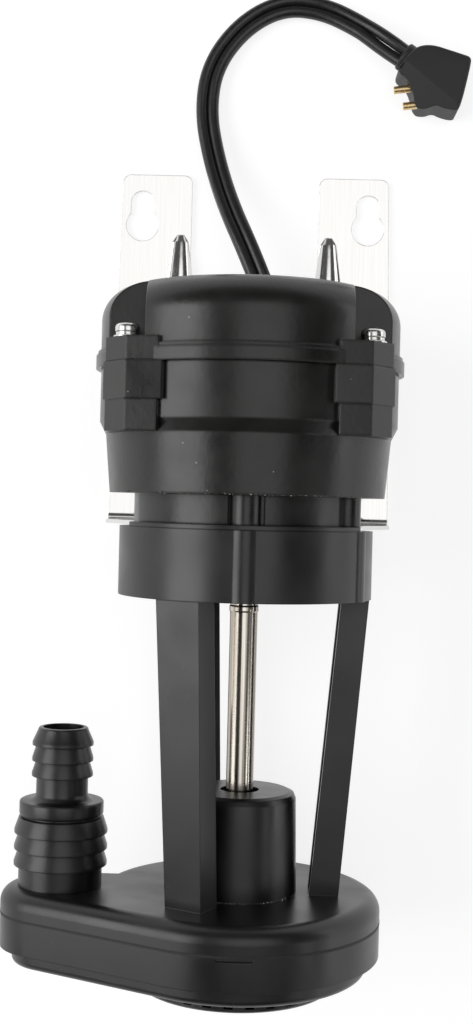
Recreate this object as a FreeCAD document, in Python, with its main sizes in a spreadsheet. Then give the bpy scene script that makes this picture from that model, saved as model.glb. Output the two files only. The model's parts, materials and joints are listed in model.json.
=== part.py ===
import FreeCAD, Part
import math
import os
import Sketcher
from FreeCAD import Vector

# Ice machine water pump, lying on the back of its mounting bracket.
# X runs to the right, Y along the pump from the inlet up to the motor and Z away from the bracket.
# The origin is on the back of the bracket, level with the joint between the motor's end cap and housing.
# Every turned piece has its own Y axis on the pump's axis, so its sketch reads as radius and station.

DOC = FreeCAD.newDocument("ice_machine_water_pump")
SHEET = DOC.addObject("Spreadsheet::Sheet", "dims")

SIZES = {
    # Bracket, pressed from one sheet
    "sheet": 1.2,
    "axis_height": 47.0,
    "plate_half_low": 44.6,
    "plate_half_top": 42.4,
    "ear_top": 67.0,
    "ear_inner": 20.2,
    "ear_corner": 2.6,
    "notch_floor": 31.0,
    "notch_corner": 6.0,
    "keyhole_half_pitch": 36.0,
    "keyhole_station": 51.0,
    "keyhole_head": 5.1,
    "keyhole_neck": 3.65,
    "keyhole_rise": 7.1,
    "bend": 2.4,
    "shelf_straight": 8.6,
    "shelf_tongue": 33.5,
    "shelf_window": 23.0,
    "rib_place": 23.6,
    "rib_top": 48.4,
    "rib_low": -26.0,
    "rib_small": 2.7,
    "rib_big": 4.6,
    # Motor end cap
    "cap_wall": 42.8,
    "cap_band": 44.16,
    "band_height": 4.8,
    "bead": 0.5,
    "bead_height": 1.1,
    "cap_corner": 25.6,
    "cap_top": 28.2,
    "cap_flat": 16.0,
    "cap_round": 11.0,
    "wall": 2.6,
    "motor_bore": 37.0,
    "lug_in": 24.0,
    "lug_front": 36.6,
    "lug_mid": 32.8,
    "lug_mid_front": 34.7,
    "lug_out": 38.9,
    "lug_out_front": 26.8,
    "lug_root": 15.0,
    "cap_lug_height": 8.0,
    "pocket_in": 28.0,
    "pocket_back": 17.4,
    "screw_x": 33.3,
    "screw_z": 25.0,
    # Motor housing
    "housing_wall": 42.7,
    "shoulder_high": 15.0,
    "shoulder_low": 18.6,
    "skirt_top": 40.9,
    "skirt_low": 39.5,
    "housing_depth": 35.0,
    "housing_floor": 3.0,
    "lug_swell": 1.1,
    "housing_lug_depth": 10.2,
    "rib_lug_shrink": 1.2,
    "foot_wall": 32.3,
    "foot_bore": 27.0,
    "foot_bottom": 43.2,
    "foot_boss": 4.0,
    "foot_boss_place": 31.6,
    "foot_panel": 1.0,
    "left_panel_start": -64.0,
    "left_panel_end": -8.0,
    "right_panel_start": 9.0,
    "right_panel_end": 50.0,
    # Bearings and rotor
    "shaft": 7.94,
    "running_clearance": 0.03,
    "bush_wall": 2.5,
    "bush_length": 9.0,
    "seat_wall": 3.0,
    "upper_bush_top": 21.0,
    "lower_bush_top": 26.0,
    "shaft_top": 22.5,
    "core_top": -3.0,
    "core_stack": 20.0,
    "air_gap": 0.4,
    "rotor_radius": 16.0,
    "pole_width": 12.0,
    "yoke": 6.5,
    "pole_shoe": 3.0,
    "coil_depth": 3.0,
    "coil_clearance": 0.25,
    "end_ring": 2.0,
    "thrust_radius": 7.0,
    "thrust_thickness": 0.6,
    "end_play": 0.4,
    "washer_thickness": 1.0,
    "slinger_radius": 10.0,
    "slinger_thickness": 2.0,
    "slinger_station": 39.0,
    # Pump frame
    "collar_radius": 36.4,
    "collar_wall": 3.0,
    "collar_depth": 19.4,
    "collar_web": 3.4,
    "collar_window": 12.0,
    "collar_boss": 5.0,
    "collar_boss_place": 32.2,
    "head_depth": 11.0,
    "leg_top_out": 35.7,
    "leg_top_in": 27.9,
    "leg_top_width": 13.8,
    "leg_low_out": 28.8,
    "leg_low_in": 20.5,
    "leg_low_width": 11.6,
    "leg_wall": 2.3,
    "plate_top": -148.5,
    "seam": -155.9,
    "casing_radius": 41.1,
    "arm_place": 51.3,
    "arm_radius": 16.9,
    "casing_round": 4.4,
    "casing_plate": 2.6,
    "tower_top": -119.7,
    "tower_low_radius": 17.0,
    "tower_top_radius": 16.3,
    "tower_round": 2.0,
    "tower_wall": 2.4,
    "tower_hole": 5.6,
    # Volute cover and strainer
    "cover_depth": 9.6,
    "step_round": 1.8,
    "step_inset": 3.6,
    "step_depth": 5.0,
    "cavity_radius": 34.0,
    "channel_radius": 9.5,
    "cover_floor": 4.0,
    "inlet_radius": 13.0,
    "notch_half": 5.0,
    "notch_depth": 1.3,
    "strainer_radius": 28.6,
    "strainer_depth": 4.2,
    "strainer_wall": 2.0,
    "strainer_slot": 3.6,
    "strainer_slot_high": 1.9,
    "strainer_slots": 36,
    "strainer_peg": 1.7,
    "fit_gap": 0.15,
    # Outlet barb
    "outlet_bore": 5.9,
    "port_radius": 5.2,
    "barb_root": 12.0,
    "barb_big": 13.6,
    "barb_pitch": 5.4,
    "barb_first": -144.6,
    "barb_neck": 7.6,
    "barb_small": 8.9,
    "small_pitch": 4.5,
    "small_first": -117.9,
    "barb_disc": 12.2,
    "disc_low": -126.4,
    "disc_high": -123.2,
    "barb_mouth": -103.1,
    # Impeller
    "impeller_radius": 24.0,
    "impeller_disc": 1.6,
    "vane_height": 5.4,
    "vane_width": 1.8,
    "vanes": 6,
    "impeller_hub": 6.0,
    "impeller_low": -162.4,
    # Screws and washers
    "screw_shank": 2.0,
    "screw_head": 4.2,
    "screw_head_height": 2.9,
    "screw_length": 21.0,
    "screw_recess": 1.5,
    "washer_radius": 4.6,
    "thread_clearance": 0.05,
    "frame_screw_head": 3.5,
    "frame_screw_length": 11.0,
    # Cord and plug
    "cord_width": 7.2,
    "cord_thickness": 3.8,
    "grommet_radius": 6.2,
    "grommet_top": 29.6,
    "cord_x": 3.0,
    "cord_z": -29.5,
    "plug_low": 0.1,
    "plug_slope": 4.0,
    "plug_collar": 5.2,
    "plug_collar_length": 8.0,
    "pin_height": 8.0,
    "plug_thickness": 14.0,
    "plug_round": 1.0,
    "pin_radius": 1.2,
    "pin_length": 8.5,
    "pin_depth": 6.0,
}

for row, (alias, value) in enumerate(SIZES.items(), start=1):
    SHEET.set(f"A{row}", alias)
    SHEET.set(f"B{row}", str(value))
    SHEET.setAlias(f"B{row}", alias)
DOC.recompute()


def size(alias):
    """The value of one named size."""
    return float(SHEET.get(alias))


def body(name, place=None):
    """A body whose own Y axis is the pump's axis, or that stands at another place."""
    part = DOC.addObject("PartDesign::Body", name)
    part.Label = name
    place = place or {"z": "dims.axis_height"}
    for axis, rule in place.items():
        part.setExpression(f"Placement.Base.{axis}", rule)
    return part


def origin_item(part, role):
    return next(item for item in part.Origin.OriginFeatures if item.Role == role)


def sketch(part, name, role, station=None):
    """A sketch on one of the body's own planes; a station moves one that lies across the axis."""
    drawing = part.newObject("Sketcher::SketchObject", name)
    drawing.AttachmentSupport = [(origin_item(part, role), "")]
    drawing.MapMode = "FlatFace"
    if station:
        sign = "-1 * " if role == "XZ_Plane" else ""
        drawing.setExpression("AttachmentOffset.Base.z", f"{sign}({station})")
    return drawing


def bind(drawing, kind, refs, rule):
    """Binds a radius, or a point's distance from the sketch's origin, to its rule, from where it is drawn."""
    if kind == "Radius":
        drawn = drawing.Geometry[refs[0]].Radius
    else:
        spot = drawing.getPoint(*refs[2:])
        drawn = spot.x if kind == "DistanceX" else spot.y
    index = drawing.addConstraint(Sketcher.Constraint(kind, *refs, drawn))
    drawing.setExpression(f"Constraints[{index}]", rule)


def polygon(drawing, points):
    """A closed outline whose corners are bound one by one to their rules."""
    count = len(points)
    first = drawing.GeometryCount
    ring = [Vector(9 * math.cos(math.tau * i / count), 9 * math.sin(math.tau * i / count), 0)
            for i in range(count)]
    for i in range(count):
        drawing.addGeometry(Part.LineSegment(ring[i], ring[(i + 1) % count]))
    for i in range(count):
        drawing.addConstraint(Sketcher.Constraint("Coincident", first + i, 2, first + (i + 1) % count, 1))
    for i, (across, along) in enumerate(points):
        bind(drawing, "DistanceX", (-1, 1, first + i, 1), str(across))
        bind(drawing, "DistanceY", (-1, 1, first + i, 1), str(along))
    return drawing


def box(drawing, low_x, high_x, low_y, high_y):
    return polygon(drawing, [(low_x, low_y), (high_x, low_y), (high_x, high_y), (low_x, high_y)])


def circle(drawing, radius, across="0", along="0"):
    index = drawing.addGeometry(Part.Circle(Vector(0, 0, 0), Vector(0, 0, 1), 5))
    bind(drawing, "Radius", (index,), str(radius))
    bind(drawing, "DistanceX", (-1, 1, index, 3), str(across))
    bind(drawing, "DistanceY", (-1, 1, index, 3), str(along))
    return drawing


def feature(part, kind, name, profile, **rules):
    """A sketch-based feature; text values are rules, the rest are set as they are.

    A pocket left to itself runs against its sketch's normal, so it is turned to run as a pad does.
    """
    item = part.newObject(f"PartDesign::{kind}", name)
    item.Profile = profile
    if kind == "Pocket":
        rules["Reversed"] = not rules.get("Reversed", False)
    for key, value in rules.items():
        if isinstance(value, str):
            item.setExpression(key, value)
        else:
            setattr(item, key, value)
    profile.Visibility = False
    DOC.recompute()
    return item


def turn(part, name, drawing, kind="Revolution"):
    """Turns a radius and station outline about the pump's axis."""
    return feature(part, kind, name, drawing, ReferenceAxis=(drawing, ["V_Axis"]), Angle=360.0)


def polar(part, name, originals, count, start=None):
    item = part.newObject("PartDesign::PolarPattern", name)
    item.Originals = originals
    item.Axis = (origin_item(part, "Y_Axis"), [""])
    item.Angle = 360.0
    item.setExpression("Occurrences", str(count))
    part.Tip = item
    DOC.recompute()
    return item


def soften(part, name, base, radius, choose, kind="Fillet"):
    """Rounds or chamfers the edges of a feature that a test picks."""
    names = [f"Edge{i}" for i, edge in enumerate(base.Shape.Edges, start=1) if choose(edge)]
    item = part.newObject(f"PartDesign::{kind}", name)
    item.Base = (base, names)
    item.setExpression("Radius" if kind == "Fillet" else "Size", radius)
    DOC.recompute()
    return item


def around(azimuth, radius):
    """Rules for a place at an azimuth from the front, towards +X, in a sketch across the axis."""
    return f"({radius}) * sin({azimuth})", f"({radius}) * cos({azimuth})"


def at_station(edge, station, least=0.0):
    """True for an edge that lies whole at a station and outside a radius."""
    spots = [edge.valueAt(edge.FirstParameter + k * (edge.LastParameter - edge.FirstParameter) / 4)
             for k in range(5)]
    return all(abs(p.y - station) < 0.01 and math.hypot(p.x, p.z) > least for p in spots)


QUARTERS = [(1, 1), (-1, 1), (-1, -1), (1, -1)]
BOSS_TURNS = ["0", "62", "180", "242"]
SHAFT_RADIUS = "dims.shaft / 2"
BUSH_RADIUS = f"({SHAFT_RADIUS} + dims.running_clearance + dims.bush_wall)"
SHELF_TOP = "(-1 * dims.foot_bottom)"
WELL_BACK = "(sqrt(dims.pocket_in ^ 2 + dims.pocket_back ^ 2) - dims.wall)"
COLLAR_TOP = f"({SHELF_TOP} - dims.sheet)"
BEND_END = f"({SHELF_TOP} + 2 * dims.bend)"
COLLAR_LOW = f"({COLLAR_TOP} - dims.collar_depth)"
COVER_LOW = "(dims.seam - dims.cover_depth)"
STEP_LOW = f"({COVER_LOW} - dims.step_depth)"
CORE_LOW = "(dims.core_top - dims.core_stack)"
CHAMBER_DEPTH = "(dims.cover_depth + dims.step_depth - dims.strainer_wall - dims.cover_floor)"


def lug_outline(drawing, side_x, side_z, swell):
    """The outer faces of a screw lug at one corner of the motor, grown by a swell."""
    corners = [("dims.lug_in - {s}", "dims.lug_root"),
               ("dims.lug_in - {s}", "dims.lug_front + {s}"),
               ("dims.lug_mid", "dims.lug_mid_front + {s}"),
               ("dims.lug_out + {s} / 2", "dims.lug_out_front"),
               ("dims.lug_out + {s} / 2", "dims.lug_root")]
    points = [(f"{side_x} * ({a.format(s=swell)})", f"{side_z} * ({b.format(s=swell)})") for a, b in corners]
    return polygon(drawing, points)


def ring_piece(drawing, inner, outer, low, high):
    """A piece of a ring between two azimuths within a quarter turn of the front."""
    up = Vector(0, 0, 1)
    angles = [math.radians(90 - size(low)), math.radians(90 - size(high))]
    angles.sort()
    arcs = [drawing.addGeometry(Part.ArcOfCircle(Part.Circle(Vector(0, 0, 0), up, guess), *angles))
            for guess in (size("foot_wall") - 1, size("foot_wall") + 1)]
    lines = [drawing.addGeometry(Part.LineSegment(*(drawing.getPoint(arc, end) for arc in arcs)))
             for end in (1, 2)]
    for end, line in enumerate(lines, start=1):
        for side, arc in enumerate(arcs, start=1):
            drawing.addConstraint(Sketcher.Constraint("Coincident", line, side, arc, end))
    for arc, radius in zip(arcs, (inner, outer)):
        bind(drawing, "DistanceX", (-1, 1, arc, 3), "0")
        bind(drawing, "DistanceY", (-1, 1, arc, 3), "0")
        bind(drawing, "Radius", (arc,), radius)
        bind(drawing, "DistanceX", (-1, 1, arc, 1), f"({radius}) * sin(dims.{high})")
        bind(drawing, "DistanceX", (-1, 1, arc, 2), f"({radius}) * sin(dims.{low})")
    return drawing


# Motor end cap, a deep domed lid with a band at its joint and four screw lugs
def make_end_cap():
    cap = body("motor_end_cap")
    outline = polygon(sketch(cap, "cap_profile", "XY_Plane"), [
        ("dims.motor_bore", "0"),
        ("dims.cap_band", "0"),
        ("dims.cap_band", "dims.band_height - dims.bead_height"),
        ("dims.cap_band - dims.bead", "dims.band_height - dims.bead_height"),
        ("dims.cap_band - dims.bead", "dims.band_height"),
        ("dims.cap_wall", "dims.band_height"),
        ("dims.cap_wall", "dims.cap_corner"),
        ("dims.cap_flat", "dims.cap_top"),
        ("0", "dims.cap_top"),
        ("0", "dims.cap_top - dims.wall"),
        (BUSH_RADIUS, "dims.cap_top - dims.wall"),
        (BUSH_RADIUS, "dims.upper_bush_top - dims.bush_length"),
        (f"{BUSH_RADIUS} + dims.seat_wall", "dims.upper_bush_top - dims.bush_length"),
        (f"{BUSH_RADIUS} + dims.seat_wall", "dims.cap_top - dims.wall"),
        ("dims.cap_flat", "dims.cap_top - dims.wall"),
        (WELL_BACK, "dims.cap_corner - dims.wall"),
        (WELL_BACK, "dims.cap_lug_height - dims.wall"),
        ("dims.motor_bore", "dims.cap_lug_height - dims.wall"),
    ])
    shell = turn(cap, "cap_shell", outline)
    corner = size("cap_corner")
    dome = soften(cap, "cap_dome", shell, "dims.cap_round",
                  lambda e: at_station(e, corner, size("cap_wall") - 0.1))
    for number, (side_x, side_z) in enumerate(QUARTERS):
        lug = lug_outline(sketch(cap, f"lug_{number}", "XZ_Plane"), side_x, side_z, "0")
        feature(cap, "Pad", f"lug_block_{number}", lug, Length="dims.cap_lug_height", Reversed=True)
    for number, (side_x, side_z) in enumerate(QUARTERS):
        well = sketch(cap, f"well_{number}", "XZ_Plane", "dims.cap_lug_height")
        reach = "dims.cap_band + dims.wall"
        polygon(well, [(f"{side_x} * dims.pocket_in", f"{side_z} * dims.pocket_back"),
                       (f"{side_x} * ({reach})", f"{side_z} * dims.pocket_back"),
                       (f"{side_x} * ({reach})", f"{side_z} * ({reach})"),
                       (f"{side_x} * dims.pocket_in", f"{side_z} * ({reach})")])
        feature(cap, "Pocket", f"screw_well_{number}", well, Length="dims.cap_top", Reversed=True)
    holes = sketch(cap, "screw_holes", "XZ_Plane")
    for side_x, side_z in QUARTERS:
        circle(holes, "dims.screw_shank + dims.thread_clearance",
               f"{side_x} * dims.screw_x", f"{side_z} * dims.screw_z")
    feature(cap, "Pocket", "screw_bores", holes, Length="dims.cap_lug_height + 1", Reversed=True)
    exit_hole = circle(sketch(cap, "cord_hole", "XZ_Plane", "dims.cap_top - 2 * dims.wall"),
                       "dims.grommet_radius - 1", "dims.cord_x", "dims.cord_z")
    feature(cap, "Pocket", "cord_exit", exit_hole, Length="4 * dims.wall", Reversed=True)
    return cap


make_end_cap()


# Motor housing, a stepped cup with four screw lugs, and the foot that stands on the bracket's shelf
def make_housing():
    housing = body("motor_housing")
    seat_in = BUSH_RADIUS
    seat_out = f"{BUSH_RADIUS} + dims.seat_wall"
    floor_top = "dims.housing_floor - dims.housing_depth"
    lower_low = "(dims.bush_length + dims.lower_bush_top) * -1"
    outline = polygon(sketch(housing, "housing_profile", "XY_Plane"), [
        ("dims.motor_bore", "0"),
        ("dims.housing_wall", "0"),
        ("dims.housing_wall", "-1 * dims.shoulder_high"),
        ("dims.skirt_top", "-1 * dims.shoulder_low"),
        ("dims.skirt_low", "-1 * dims.housing_depth"),
        ("dims.foot_wall", "-1 * dims.housing_depth"),
        ("dims.foot_wall", SHELF_TOP),
        ("dims.foot_bore", SHELF_TOP),
        ("dims.foot_bore", "-1 * dims.housing_depth"),
        (seat_in, "-1 * dims.housing_depth"),
        (seat_in, "-1 * dims.lower_bush_top"),
        (seat_out, "-1 * dims.lower_bush_top"),
        (seat_out, floor_top),
        ("dims.motor_bore", floor_top),
    ])
    turn(housing, "housing_shell", outline)
    for number, (side_x, side_z) in enumerate(QUARTERS):
        lug = lug_outline(sketch(housing, f"lug_{number}", "XZ_Plane"), side_x, side_z, "dims.lug_swell")
        feature(housing, "Pad", f"lug_block_{number}", lug, Length="dims.housing_lug_depth")
        leg = lug_outline(sketch(housing, f"lug_leg_{number}", "XZ_Plane"), side_x, side_z,
                          "(dims.lug_swell - dims.rib_lug_shrink)")
        feature(housing, "Pad", f"lug_leg_block_{number}", leg, Length="dims.shoulder_low")
    for number, azimuth in enumerate(BOSS_TURNS):
        across, along = around(azimuth, "dims.foot_boss_place")
        boss = circle(sketch(housing, f"foot_boss_{number}", "XZ_Plane", SHELF_TOP), "dims.foot_boss",
                      across, along)
        feature(housing, "Pad", f"foot_boss_block_{number}", boss,
                Length="dims.foot_bottom - dims.housing_depth + 1", Reversed=True)
    for side in ("left", "right"):
        panel = ring_piece(sketch(housing, f"{side}_panel", "XZ_Plane", SHELF_TOP), "dims.foot_wall - 1",
                           "dims.foot_wall + dims.foot_panel", f"{side}_panel_start", f"{side}_panel_end")
        feature(housing, "Pad", f"{side}_panel_block", panel, Length="dims.foot_bottom - dims.housing_depth",
                Reversed=True)
    bore = circle(sketch(housing, "stator_bore", "XZ_Plane"), "dims.motor_bore")
    feature(housing, "Pocket", "stator_space", bore, Length="dims.shoulder_low + 1")
    holes = sketch(housing, "screw_holes", "XZ_Plane")
    for side_x, side_z in QUARTERS:
        circle(holes, "dims.screw_shank + dims.thread_clearance",
               f"{side_x} * dims.screw_x", f"{side_z} * dims.screw_z")
    feature(housing, "Pocket", "screw_bores", holes, Length="dims.screw_length - dims.cap_lug_height + 1")
    frame_holes = sketch(housing, "frame_screw_holes", "XZ_Plane", SHELF_TOP)
    for azimuth in BOSS_TURNS:
        across, along = around(azimuth, "dims.foot_boss_place")
        circle(frame_holes, "dims.screw_shank + dims.thread_clearance", across, along)
    feature(housing, "Pocket", "frame_screw_bores", frame_holes, Length="dims.housing_floor + 3",
            Reversed=True)
    return housing


make_housing()


# Stator, a ring of laminations with four poles, and what sits on its poles
def make_stator():
    core = body("stator_core")
    ring = circle(sketch(core, "yoke_ring", "XZ_Plane", CORE_LOW), "dims.motor_bore - dims.fit_gap")
    circle(ring, "dims.motor_bore - dims.fit_gap - dims.yoke")
    feature(core, "Pad", "yoke_block", ring, Length="dims.core_stack", Reversed=True)
    face = "dims.rotor_radius + dims.air_gap"
    pole = box(sketch(core, "pole_profile", "XZ_Plane", CORE_LOW),
               "-1 * dims.pole_width / 2", "dims.pole_width / 2",
               f"{face} - 3", "dims.motor_bore - dims.yoke")
    limb = feature(core, "Pad", "pole_limb", pole, Length="dims.core_stack", Reversed=True)
    shoe = box(sketch(core, "shoe_profile", "XZ_Plane", CORE_LOW),
               "-1 * dims.pole_width", "dims.pole_width",
               f"{face} - 6", f"{face} + dims.pole_shoe")
    tip = feature(core, "Pad", "pole_shoe_block", shoe, Length="dims.core_stack", Reversed=True)
    polar(core, "poles", [limb, tip], 4)
    bore = circle(sketch(core, "rotor_bore", "XZ_Plane", CORE_LOW), face)
    feature(core, "Pocket", "rotor_space", bore, Length="dims.core_stack", Reversed=True)
    return core


make_stator()


# Four field coils, one on each pole
def make_coils():
    face = "(dims.rotor_radius + dims.air_gap + dims.pole_shoe + dims.coil_clearance)"
    gap = "dims.coil_clearance"
    outer = (f"sqrt((dims.motor_bore - dims.fit_gap - dims.yoke - {gap}) ^ 2"
             f" - (dims.pole_width / 2 + {gap} + dims.coil_depth) ^ 2)")
    coils = []
    for number in range(4):
        coil = DOC.addObject("Part::Cut", f"coil_{number}")
        winding = DOC.addObject("Part::Box", f"winding_{number}")
        window = DOC.addObject("Part::Box", f"window_{number}")
        for piece, grow in ((winding, "dims.coil_depth"), (window, "0")):
            piece.setExpression("Length", f"dims.pole_width + 2 * ({gap} + {grow})")
            piece.setExpression("Width", f"dims.core_stack + 2 * ({gap} + {grow})")
            piece.setExpression("Placement.Base.x", f"-1 * (dims.pole_width / 2 + {gap} + {grow})")
            piece.setExpression("Placement.Base.y", f"{CORE_LOW} - {gap} - {grow}")
        winding.setExpression("Height", f"{outer} - {face}")
        winding.setExpression("Placement.Base.z", face)
        window.setExpression("Height", f"{outer}")
        coil.Base = winding
        coil.Tool = window
        coil.Placement.Rotation = FreeCAD.Rotation(Vector(0, 1, 0), 90 * number)
        coils.append(coil)
    group = DOC.addObject("Part::Compound", "field_coils")
    group.Links = coils
    group.Label = "field_coils"
    group.setExpression("Placement.Base.z", "dims.axis_height")
    return group


# A turned piece given by its outline alone
def turned(name, points, place=None):
    piece = body(name, place)
    turn(piece, f"{name}_turned", polygon(sketch(piece, f"{name}_profile", "XY_Plane"), points))
    return piece


def tube(name, bore, outer, low, high):
    return turned(name, [(bore, low), (outer, low), (outer, high), (bore, high)])


make_coils()
RUN_BORE = f"({SHAFT_RADIUS} + dims.running_clearance)"
tube("upper_bush", RUN_BORE, f"{BUSH_RADIUS} - 0.01", "dims.upper_bush_top - dims.bush_length",
     "dims.upper_bush_top")
tube("lower_bush", RUN_BORE, f"{BUSH_RADIUS} - 0.01", "-1 * dims.lower_bush_top - dims.bush_length",
     "-1 * dims.lower_bush_top")

# Rotor: the laminated core with its bars, two end rings and the two thrust washers on the shaft
ROTOR_BORE = f"({SHAFT_RADIUS})"
tube("rotor_core", ROTOR_BORE, "dims.rotor_radius", CORE_LOW, "dims.core_top")
tube("rotor_end_ring_upper", ROTOR_BORE, "dims.rotor_radius - 1", "dims.core_top",
     "dims.core_top + dims.end_ring")
tube("rotor_end_ring_lower", ROTOR_BORE, "dims.rotor_radius - 1", f"{CORE_LOW} - dims.end_ring", CORE_LOW)
UPPER_THRUST = "(dims.upper_bush_top - dims.bush_length - dims.end_play)"
LOWER_THRUST = "(-1 * dims.lower_bush_top + dims.end_play)"
tube("thrust_washer_upper", ROTOR_BORE, "dims.thrust_radius", f"{UPPER_THRUST} - dims.thrust_thickness",
     UPPER_THRUST)
tube("thrust_washer_lower", ROTOR_BORE, "dims.thrust_radius", LOWER_THRUST,
     f"{LOWER_THRUST} + dims.thrust_thickness")


# Shaft with a chamfer at both ends, from the upper bush down to the impeller
IMPELLER_TOP = "(dims.impeller_low + dims.impeller_disc + dims.vane_height)"
turned("motor_shaft", [
    ("0", "dims.impeller_low - 1"),
    (f"{SHAFT_RADIUS} - 0.8", "dims.impeller_low - 1"),
    (SHAFT_RADIUS, "dims.impeller_low - 0.2"),
    (SHAFT_RADIUS, "dims.shaft_top - 0.8"),
    (f"{SHAFT_RADIUS} - 0.8", "dims.shaft_top"),
    ("0", "dims.shaft_top"),
])
tube("water_slinger", SHAFT_RADIUS, "dims.slinger_radius",
     "-1 * dims.slinger_station - dims.slinger_thickness", "-1 * dims.slinger_station")


# Impeller, an open disc with straight vanes round a hub
def make_impeller():
    wheel = body("impeller")
    outline = polygon(sketch(wheel, "impeller_profile", "XY_Plane"), [
        (SHAFT_RADIUS, "dims.impeller_low"),
        ("dims.impeller_radius", "dims.impeller_low"),
        ("dims.impeller_radius", "dims.impeller_low + dims.impeller_disc"),
        ("dims.impeller_hub", "dims.impeller_low + dims.impeller_disc"),
        ("dims.impeller_hub", IMPELLER_TOP),
        (SHAFT_RADIUS, IMPELLER_TOP),
    ])
    turn(wheel, "impeller_disc", outline)
    vane = box(sketch(wheel, "vane_profile", "XZ_Plane", "dims.impeller_low"),
               "-1 * dims.vane_width / 2", "dims.vane_width / 2",
               "dims.impeller_hub - 1", "dims.impeller_radius")
    blade = feature(wheel, "Pad", "vane", vane, Length="dims.impeller_disc + dims.vane_height", Reversed=True)
    polar(wheel, "vane_ring", [blade], "dims.vanes")
    return wheel


make_impeller()


# Mounting bracket: back plate with two keyhole ears, shelf under the motor and two pressed ribs
def make_bracket():
    bracket = body("mounting_bracket", {"z": "0 * dims.sheet"})
    plate = polygon(sketch(bracket, "plate_outline", "XY_Plane"), [
        ("dims.plate_half_low", COLLAR_TOP),
        ("dims.plate_half_low", BEND_END),
        ("dims.plate_half_top", "dims.ear_top"),
        ("dims.ear_inner", "dims.ear_top"),
        ("dims.ear_inner", "dims.notch_floor"),
        ("-1 * dims.ear_inner", "dims.notch_floor"),
        ("-1 * dims.ear_inner", "dims.ear_top"),
        ("-1 * dims.plate_half_top", "dims.ear_top"),
        ("-1 * dims.plate_half_low", BEND_END),
        ("-1 * dims.plate_half_low", COLLAR_TOP),
    ])
    back = feature(bracket, "Pad", "back_plate", plate, Length="dims.sheet")
    shelf = polygon(sketch(bracket, "shelf_outline", "XZ_Plane", COLLAR_TOP), [
        ("-1 * dims.plate_half_low", "0"),
        ("dims.plate_half_low", "0"),
        ("dims.plate_half_low", "dims.shelf_straight"),
        ("dims.shelf_tongue", "dims.axis_height - dims.shelf_tongue / 2"),
        ("-1 * dims.shelf_tongue", "dims.axis_height - dims.shelf_tongue / 2"),
        ("-1 * dims.plate_half_low", "dims.shelf_straight"),
    ])
    feature(bracket, "Pad", "shelf_back", shelf, Length="dims.sheet", Reversed=True)
    tongue = circle(sketch(bracket, "tongue_outline", "XZ_Plane", COLLAR_TOP), "dims.shelf_tongue",
                    "0", "dims.axis_height")
    front = feature(bracket, "Pad", "shelf_tongue_disc", tongue, Length="dims.sheet", Reversed=True)
    station = -size("foot_bottom")
    deep = size("sheet")
    inner = [f"Edge{i}" for i, e in enumerate(front.Shape.Edges, start=1)
             if e.Length > size("plate_half_low") and on_line(e, station, deep)]
    bend_in = bracket.newObject("PartDesign::Fillet", "bend_inside")
    bend_in.Base = (front, inner)
    bend_in.setExpression("Radius", "dims.bend")
    DOC.recompute()
    outer = [f"Edge{i}" for i, e in enumerate(bend_in.Shape.Edges, start=1)
             if e.Length > size("plate_half_low") and on_line(e, station - deep, 0)]
    bend_out = bracket.newObject("PartDesign::Fillet", "bend_outside")
    bend_out.Base = (bend_in, outer)
    bend_out.setExpression("Radius", "dims.bend + dims.sheet")
    DOC.recompute()
    top = size("ear_top")
    corners = soften(bracket, "ear_corners", bend_out, "dims.ear_corner",
                     lambda e: across_sheet(e) and abs(e.valueAt(e.FirstParameter).y - top) < 0.01)
    floor = size("notch_floor")
    soften(bracket, "notch_corners", corners, "dims.notch_corner",
           lambda e: across_sheet(e) and abs(e.valueAt(e.FirstParameter).y - floor) < 0.01)
    for number, side in enumerate((-1, 1)):
        rib_outer = rib_profile(bracket, f"rib_{number}", side, "0")
        turned_rib = feature(bracket, "Revolution", f"rib_skin_{number}", rib_outer,
                             ReferenceAxis=(rib_outer, ["Axis0"]), Angle=180.0, Reversed=side > 0)
        rib_inner = rib_profile(bracket, f"rib_hollow_{number}", side, "dims.sheet")
        feature(bracket, "Groove", f"rib_press_{number}", rib_inner,
                ReferenceAxis=(rib_inner, ["Axis0"]), Angle=180.0, Reversed=side > 0)
    heads = sketch(bracket, "keyhole_heads", "XY_Plane")
    for side in (-1, 1):
        circle(heads, "dims.keyhole_head", f"{side} * dims.keyhole_half_pitch", "dims.keyhole_station")
    feature(bracket, "Pocket", "keyhole_head_cut", heads, Length="dims.sheet")
    necks = sketch(bracket, "keyhole_necks", "XY_Plane")
    for side in (-1, 1):
        circle(necks, "dims.keyhole_neck", f"{side} * dims.keyhole_half_pitch",
               "dims.keyhole_station + dims.keyhole_rise")
    feature(bracket, "Pocket", "keyhole_neck_cut", necks, Length="dims.sheet")
    slots = sketch(bracket, "keyhole_slots", "XY_Plane")
    for side in (-1, 1):
        box(slots, f"{side} * dims.keyhole_half_pitch - dims.keyhole_neck",
            f"{side} * dims.keyhole_half_pitch + dims.keyhole_neck",
            "dims.keyhole_station", "dims.keyhole_station + dims.keyhole_rise")
    feature(bracket, "Pocket", "keyhole_slot_cut", slots, Length="dims.sheet")
    window = circle(sketch(bracket, "shelf_window_outline", "XZ_Plane", COLLAR_TOP), "dims.shelf_window",
                    "0", "dims.axis_height")
    for azimuth in BOSS_TURNS:
        across, along = around(azimuth, "dims.foot_boss_place")
        circle(window, "dims.screw_shank + 0.3", across, f"dims.axis_height + {along}")
    feature(bracket, "Pocket", "shelf_holes", window, Length="dims.sheet", Reversed=True)
    return bracket


def on_line(edge, station, height):
    """True for an edge that runs along X at a station and a height."""
    return all(abs(edge.valueAt(t).y - station) < 0.01 and abs(edge.valueAt(t).z - height) < 0.01
               for t in (edge.FirstParameter, edge.LastParameter))


def across_sheet(edge):
    """True for a short straight edge through the sheet's thickness."""
    low, high = edge.valueAt(edge.FirstParameter), edge.valueAt(edge.LastParameter)
    return abs(abs(low.z - high.z) - size("sheet")) < 0.01 and abs(low.x - high.x) < 0.01


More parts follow.
